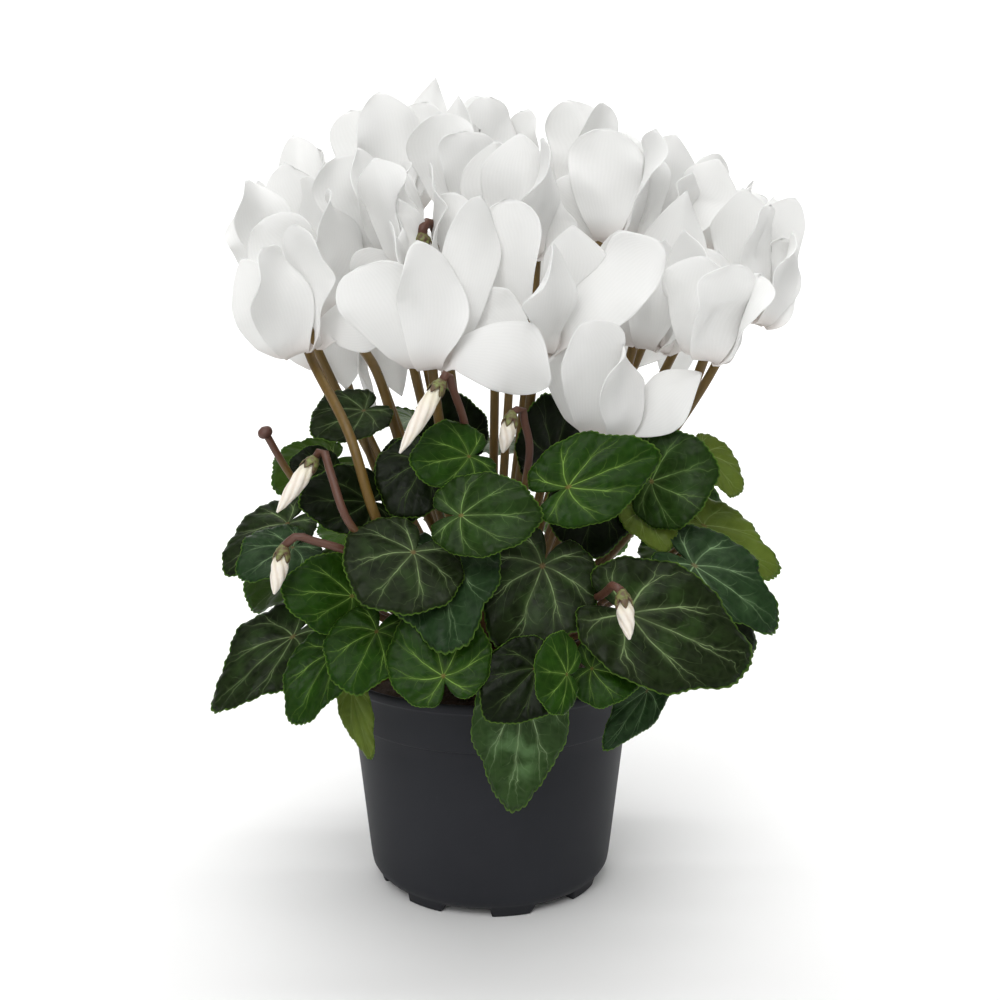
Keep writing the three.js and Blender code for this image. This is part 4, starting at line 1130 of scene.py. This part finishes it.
def add_sepals(shape, end, axis, side, radius, length):
    """Five sepals that lie down over the flower's shoulder and narrow to a point by a power, and
    the cup they grow from."""
    third = np.cross(axis, side)
    shares = np.linspace(0, 1, 8)
    for k in range(5):
        turn = 2 * math.pi * k / 5 + 0.4
        out = side * math.cos(turn) + third * math.sin(turn)
        across = np.cross(out, axis)
        spread = radius * (0.55 + 0.55 * np.sin(0.5 * math.pi * np.minimum(1, 1.6 * shares)))
        line = end + out * spread[:, None] + axis * (1.6 - (length + 1.6) * shares)[:, None]
        half = radius * 0.62 * (1 - shares**2.2) ** 0.8 + 0.03
        w = np.linspace(-1, 1, 7)
        bow = -0.35 * half[:, None] * w[None] ** 2
        grid = (
            line[:, None]
            + across * (half[:, None] * w[None])[..., None]
            + out * bow[..., None]
        )
        rim = np.maximum(np.abs(w)[None] ** 3, shares[:, None] ** 3)
        uv = np.stack(np.broadcast_arrays(shares[:, None], w[None]), axis=-1)
        thin_sheet(shape, grid, 0.35, uv, rim=rim)
    cup_heights = vec([CALYX_LENGTH + 0.6, 2.0, 1.2, 0.3, -0.1])
    cup_radii = vec([0.45, 0.7, 0.92, 1.0, 0.75]) * radius
    points = end + axis * cup_heights[:, None]
    tube(shape, points, np.broadcast_to(-axis, points.shape), cup_radii, 14, rim=0.35, under=0.0)


def build_flower_stalks():
    """Each stalk rises beside its flower, hooks over in half an oval and ends in the calyx."""
    stalks = Shape()
    sepals = Shape()
    arc = np.linspace(0, math.pi, 9)
    for row in BLOOMS:
        bloom = Bloom(row)
        side = bloom.towards(bloom.stalk_turn)
        below = bloom.at(side, STALK_OFFSET, -4)
        root = flower_root(below)
        arrive = bloom.axis * 0.3 * np.linalg.norm(below - root)
        ways = [vec(place) for place in STALK_WAYS.get(bloom.name, [])]
        shaft = sweep(root, below, arrive, FLOWER_RISE, 10)
        if ways:
            shaft = [root, root + UP * FLOWER_RISE, *ways, below]
        half = 0.5 * STALK_OFFSET
        hook = [
            bloom.at(side, half + half * math.cos(a), TUBE_LENGTH + 2.4 + 4.6 * math.sin(a))
            for a in arc
        ]
        add_stalk(stalks, [*shaft, *hook], FLOWER_STALK, 0.86, 60)
        end = bloom.at(side, 0, TUBE_LENGTH + GAP)
        add_sepals(sepals, end, bloom.axis, side, CALYX_RADIUS, 3.4)
    write_piece("flower_stalks", stalks, STALK, ["tuber_and_stalks"])
    write_piece("flower_sepals", sepals, CALYX, ["tuber_and_stalks"])


def build_bud_stalks():
    """The buds' stalks with their sepals, and the stalk that ends in a knob: a ball drawn out along
    it by a fifth."""
    stalks = Shape()
    sepals = Shape()
    for _, calyx, tip, hook, low in BUDS:
        end = vec(calyx)
        away = unit(end - vec(tip))
        arrive = (vec(hook) - vec(low)) * 0.5
        shaft = sweep(flower_root(low), vec(low), arrive, 16, 8)
        bend = [vec(hook) * 0.65 + vec(low) * 0.35, vec(hook), end + away * 2.6]
        add_stalk(stalks, [*shaft, *bend], BUD_STALK, 0.7, 50)
        side = unit(np.cross(away, UP))
        add_sepals(sepals, end, away, side, 2.7, 3.2)
    knob = vec(SPENT_KNOB)
    low = vec(SPENT_LOW)
    shaft = sweep(flower_root(low), low, knob - low, 16, 8)
    add_stalk(stalks, [*shaft, knob, knob + unit(knob - low) * 2], BUD_STALK, 0.85, 40)
    shares = np.linspace(-1, 1, 9)
    axis = unit(knob - low)
    ball = knob + axis * (1.5 + 2.4 * shares)[:, None]
    radii = 3.0 * np.sqrt(np.maximum(1 - shares**2, 0.02))
    tube(sepals, ball, np.broadcast_to(axis, ball.shape), radii, 12, rim=1.0, under=0.0)
    write_piece("bud_stalks", stalks, STALK, ["tuber_and_stalks"])
    write_piece("bud_sepals", sepals, CALYX, ["tuber_and_stalks"])


build_leaf_stalks()
build_flower_stalks()
build_bud_stalks()


# ---- buds ----
def build_bud(row):
    """A furled bud: a spindle whose section has five soft folds that turn round it."""
    name, calyx, tip, _, _ = row
    start = vec(calyx)
    along = unit(vec(tip) - start)
    length = np.linalg.norm(vec(tip) - start)
    side = unit(np.cross(along, UP))
    third = np.cross(along, side)
    shares = np.linspace(0, 1, 30)
    sides = 40
    turn = turns(sides)
    radius = np.interp(shares, [0, 0.12, 0.3, 0.6, 0.85, 1], [2.0, 2.7, 3.1, 2.6, 1.5, 0.35])
    fold_phase = 5 * (turn[None] + 2.6 * shares[:, None])
    crease = (0.5 + 0.5 * np.cos(fold_phase)) ** 3
    section = radius[:, None] * (1 - 0.16 * crease)
    middle = start + along * (GAP + shares * (length - GAP))[:, None]
    rings = middle[:, None] + section[..., None] * circle(side, third, turn)
    share_values = np.concatenate([np.repeat(shares, sides), [0, 1]])
    folds = np.concatenate([crease.reshape(-1), [0, 0]])
    shape = Shape()
    shape.add_round(rings, middle[[0, -1]], share=share_values, fold=folds)
    write_piece(f"bud_{name}", shape, BUD, [f"bud_{name}"])


for row in BUDS:
    build_bud(row)


# ---- tuber, soil and pot ----
def lumps(x, y, size, seed):
    """A smooth uneven field: the mean of six crossed sines, whose turns, lengths and phases come
    from the seed."""
    total = np.zeros_like(x)
    for k in range(6):
        turn = 2 * math.pi * draw(seed + k)
        scale = 2 * math.pi / (size * (0.5 + draw(seed + k + 0.5)))
        total += np.sin(scale * (x * math.cos(turn) + y * math.sin(turn)) + 6 * draw(seed + k + 0.3))
    return total / 6


TUBER_INSIDE = 0.985


def build_tuber():
    """A flattened round tuber, lumpy by a few hundredths of its size, just inside its solid."""
    rows, cols = 40, 80
    lift = np.linspace(-0.5 * math.pi, 0.5 * math.pi, rows + 2)[1:-1, None]
    x = np.cos(lift) * np.cos(turns(cols))
    y = np.cos(lift) * np.sin(turns(cols))
    z = np.broadcast_to(np.sin(lift), x.shape)
    swell = 1 + 0.035 * lumps(20 * x, 20 * y + 9 * z, 9.0, 70)
    size = vec((TUBER_RADIUS, TUBER_RADIUS, TUBER_HEIGHT))
    rings = TUBER_MIDDLE + np.stack([x, y, z], axis=-1) * swell[..., None] * size * TUBER_INSIDE
    poles = TUBER_MIDDLE + np.outer([-1, 1], UP) * TUBER_HEIGHT * TUBER_INSIDE
    shape = Shape()
    shape.add_round(rings, poles)
    write_piece("tuber", shape, TUBER, ["tuber_and_stalks"])


# [height, size across, seed] of the soil's unevenness, from broad to fine
SOIL_LUMPS = [(0.9, 14.0, 30), (0.7, 4.0, 40), (0.35, 1.8, 50)]
CRUMB_COUNT = 420


def soil_radius():
    """The soil's edge, just clear of the pot's wall at the soil's height."""
    slope = COLLAR_FLARE / (POT_HEIGHT - 4 - COLLAR_HEIGHT)
    return COLLAR_RADIUS - WALL + slope * (SOIL_TOP - COLLAR_HEIGHT) - 0.6


def crumbly(x, y, sizes):
    """Unevenness of the soil: fields of lumps, each [height, size, seed]."""
    return sum(height * lumps(x, y, size, seed) for height, size, seed in sizes)


def build_soil():
    """Soil: a plug that fills the pot, with a crumbly top that rises a little to the tuber."""
    turn = turns(160)
    top = soil_radius()
    radius = np.linspace(top, 12, 40)[:, None]
    rise = SOIL_RISE * (1 - radius / top)
    uneven = crumbly(radius * np.cos(turn), radius * np.sin(turn), SOIL_LUMPS)
    height = np.minimum(SOIL_TOP + rise + uneven, SOIL_TOP + SOIL_RISE + 2)
    bottom = FOOT_HEIGHT + WALL + GAP
    side_radius, side_height = vec([
        (BODY_BOTTOM_RADIUS - WALL - 3.6, bottom),
        (BODY_BOTTOM_RADIUS - WALL - 0.5, FOOT_HEIGHT + 5.6),
        (BODY_TOP_RADIUS - WALL - 0.6, COLLAR_HEIGHT - 1),
        (COLLAR_RADIUS - WALL - 0.8, COLLAR_HEIGHT + 2.6),
    ]).T[:, :, None]
    rings = np.concatenate([turned(side_radius, side_height, turn), turned(radius, height, turn)])
    shape = Shape()
    shape.add_round(rings, vec([(0, 0, bottom), (0, 0, SOIL_TOP)]))
    write_piece("soil", shape, SOIL, ["soil"])


def build_crumbs():
    """Loose crumbs on the soil: small lumpy eight-sided pebbles, half sunk, by a seeded draw."""
    corners = unit(vec([(x, y, z) for x in (-1, 1) for y in (-1, 1) for z in (-1, 1)]))
    cube = np.array([[0, 1, 3, 2], [4, 6, 7, 5], [0, 4, 5, 1], [2, 3, 7, 6], [0, 2, 6, 4], [1, 5, 7, 3]])
    shape = Shape()
    rng = np.random.default_rng(11)
    top = soil_radius() - 3
    for _ in range(CRUMB_COUNT):
        reach = top * math.sqrt(rng.uniform(0.15, 1))
        turn = rng.uniform(0, 2 * math.pi)
        size = rng.uniform(0.5, 1.5)
        place = vec((reach * math.cos(turn), reach * math.sin(turn), 0))
        uneven = crumbly(place[:1], place[1:2], SOIL_LUMPS[:2])[0]
        place[2] = SOIL_TOP + SOIL_RISE * (1 - reach / top) + uneven + 0.2
        stretch = rng.uniform(0.6, 1.3, (8, 1))
        shape.add(place + corners * size * stretch, cube)
    write_piece("soil_crumbs", shape, SOIL, ["soil"])


POT_COLS = 288
NOTCH_EDGE = 1.2
FOOT_EDGE = 0.5


def foot_lift(turn):
    """Height of the pot's lowest edge round its base: 0 on a foot and the foot height in a notch,
    with short slopes between."""
    step = 2 * math.pi / FOOT_COUNT
    first = math.radians(FOOT_TURN - 90) + 0.5 * step
    off = np.abs((turn - first + 0.5 * step) % step - 0.5 * step)
    half = 0.5 * NOTCH_WIDTH / (BODY_BOTTOM_RADIUS - 5)
    slope = NOTCH_EDGE / (BODY_BOTTOM_RADIUS - 5)
    return FOOT_HEIGHT * (1 - np.clip((off - half) / slope + 0.5, 0, 1))


def pot_profile():
    """Outline of the pot's wall from the middle of its underside, over a foot, up the outside, over
    the rolled rim and down the inside, as [radius, height]."""
    floor, body, step, collar, rim, top = (
        FOOT_HEIGHT, BODY_BOTTOM_RADIUS, COLLAR_HEIGHT, COLLAR_RADIUS, RIM_RADIUS, POT_HEIGHT
    )
    underside = [
        (20.0, floor), (DRAIN_INNER, floor), (DRAIN_OUTER, floor), (41.4, floor),
        (42.0, floor - 0.1), (42.1, 0.4), (42.5, 0.0), (46.0, 0.0), (46.6, 0.4), (47.5, floor),
        (49.0, floor + 1.6), (50.1, floor + 3.4), (50.5, floor + 5.5),
    ]
    side = [
        (body + 0.4 + (BODY_TOP_RADIUS - body - 0.4) * share, floor + 4 + (step - floor - 4) * share)
        for share in np.linspace(0.1, 0.99, 10)
    ]
    under_collar = [
        (BODY_TOP_RADIUS + 0.1, step - 0.3), (BODY_TOP_RADIUS + 0.5, step), (collar - 0.6, step),
        (collar - 0.1, step + 0.3), (collar + 0.05, step + 1.0), (collar + 0.35, step + 2.5),
        (collar + 1.5, step + 8), (collar + COLLAR_FLARE - 0.3, top - 5),
        (collar + COLLAR_FLARE + 0.1, top - 4.2),
    ]
    rolled = [
        (rim - 0.5, top - 3.6), (rim, top - 3.0), (rim, top - 1.0), (rim - 0.3, top - 0.2),
        (rim - 0.9, top), (rim - 1.6, top - 0.2), (rim - 2.2, top - 1.0),
    ]
    inside = [
        (collar - WALL, step + 2), (BODY_TOP_RADIUS - WALL, step - 1), (body - WALL, floor + 5),
        (body - WALL - 3, floor + WALL), (DRAIN_OUTER, floor + WALL), (DRAIN_INNER, floor + WALL),
        (20.0, floor + WALL),
    ]
    return vec(underside + side + under_collar + rolled + inside)


def drained(index, profile):
    """Faces of the turned profile with a slot through the floor behind each notch: the floor's
    faces there, under and above, are left out, and short walls join the edges round the slot."""
    below = int(np.argmax(profile[:, 0] == DRAIN_INNER))
    above = len(profile) - 1 - int(np.argmax(profile[::-1, 0] == DRAIN_OUTER))
    rows, cols = index.shape
    wide = round(2 * DRAIN_WIDTH / (DRAIN_INNER + DRAIN_OUTER) / (2 * math.pi) * cols)
    keep = np.ones((rows - 1, cols), dtype=bool)
    walls = []
    for k in range(FOOT_COUNT):
        turn = FOOT_TURN - 90 + (360 / FOOT_COUNT) * (k + 0.5)
        first = round(turn / 360 * cols - 0.5 * wide)
        span = np.arange(first, first + wide + 1) % cols
        keep[np.ix_([below, above], span[:-1])] = False
        low = np.concatenate([index[below, span], index[below + 1, span[::-1]]])
        high = np.concatenate([index[above + 1, span], index[above, span[::-1]]])
        walls.append(quads(np.stack([low, high]), closed=True))
    return np.concatenate([quads(index, closed=True)[keep.reshape(-1)], *walls])


def build_pot():
    """The pot: its profile turned about its axis, with the lowest points lifted in the notches and
    the drain slots cut."""
    turn = turns(POT_COLS)
    profile = pot_profile()
    radius, height = profile.T[:, :, None]
    lift = (height < FOOT_EDGE) * foot_lift(turn)
    rings = turned(radius, np.maximum(height, lift), turn)
    index = np.arange(rings.size // 3).reshape(-1, POT_COLS)
    poles = vec([(0, 0, FOOT_HEIGHT), (0, 0, FOOT_HEIGHT + WALL)])
    points = np.concatenate([rings.reshape(-1, 3), poles])
    shape = Shape()
    shape.add(points, capped(index, drained(index, profile)))
    write_piece("pot", shape, POT, ["pot"])


build_tuber()
build_soil()
build_crumbs()
build_pot()


# ---- studio: floor, light and camera ----
CAMERA_PLACE = (4.1, -484.0, 231.0)
CAMERA_LENS = 42.84
CAMERA_DIP = 8.5
WORLD_LIGHT = 0.34
PLANT_MIDDLE = (0.0, 0.0, 0.18)
# [name, place and target in metres, width, height, watts]
SOFTBOXES = [
    ("key", (-0.55, -1.5, 1.25), PLANT_MIDDLE, 1.0, 1.0, 13.0),
    ("top", (0.0, 0.1, 1.6), PLANT_MIDDLE, 1.2, 1.2, 8.0),
    ("front", (0.1, -1.1, 1.5), PLANT_MIDDLE, 1.6, 1.0, 9.0),
    ("backdrop", (0.0, 0.9, 2.2), (0.0, 2.8, 0.9), 3.0, 0.6, 70.0),
]


def build_floor():
    """A pale sheet that lies flat under the pot and curves up in a quarter circle far behind it."""
    material, tree, _, mottle = start_material("matt_paper_sweep", (300.0, 3.0))
    dress(tree, layered(tree, "#FAFAFA", (mottle, 1, "#F6F6F5")), {"Roughness": 0.9})
    front, back, bend, top = -4.0, 1.6, 1.2, 5.0
    quarter = np.linspace(0, math.pi / 2, 25)[1:]
    curve = np.stack([back + bend * np.sin(quarter), bend * (1 - np.cos(quarter))], axis=-1)
    profile = np.concatenate([[(front, 0), (-1.0, 0), (back, 0)], curve, [(back + bend, top)]])
    x = vec([-6.0, 6.0])
    grid = np.stack(np.broadcast_arrays(x[:, None], profile[None, :, 0], profile[None, :, 1]), axis=-1)
    index = np.arange(grid.shape[0] * grid.shape[1]).reshape(grid.shape[:2])
    mesh = bpy.data.meshes.new("floor")
    mesh.from_pydata(grid.reshape(-1, 3).tolist(), [], quads(index)[:, ::-1].tolist())
    mesh.polygons.foreach_set("use_smooth", [True] * len(mesh.polygons))
    mesh.materials.append(material)
    floor = bpy.data.objects.new("floor", mesh)
    bpy.context.scene.collection.objects.link(floor)


def add_softbox(name, place, target, width, height, watts):
    """A large soft light that looks from its place at a target, in metres."""
    light = bpy.data.lights.new(name, "AREA")
    light.shape = "RECTANGLE"
    light.size = width
    light.size_y = height
    light.energy = watts
    lamp = bpy.data.objects.new(name, light)
    bpy.context.scene.collection.objects.link(lamp)
    lamp.location = place
    backwards = Vector(place) - Vector(target)
    lamp.rotation_euler = backwards.to_track_quat("Z", "Y").to_euler()


def build_camera():
    """The photograph's camera: it looks a little down at the plant from about half a metre."""
    data = bpy.data.cameras.new("camera")
    data.sensor_width = 36.0
    data.lens = CAMERA_LENS
    data.clip_start = 0.02
    camera = bpy.data.objects.new("camera", data)
    camera.location = (POT_AXIS + vec(CAMERA_PLACE) * MM).tolist()
    camera.rotation_euler = (math.radians(90 - CAMERA_DIP), 0.0, 0.0)
    bpy.context.scene.collection.objects.link(camera)
    bpy.context.scene.camera = camera


def build_light():
    """An even white surround and the softboxes."""
    world = bpy.data.worlds.new("studio")
    world.use_nodes = True
    background = world.node_tree.nodes["Background"]
    background.inputs[0].default_value = (1.0, 1.0, 1.0, 1.0)
    background.inputs[1].default_value = WORLD_LIGHT
    bpy.context.scene.world = world
    for row in SOFTBOXES:
        add_softbox(*row)


build_floor()
build_light()
build_camera()
bpy.context.scene.view_settings.view_transform = "Standard"
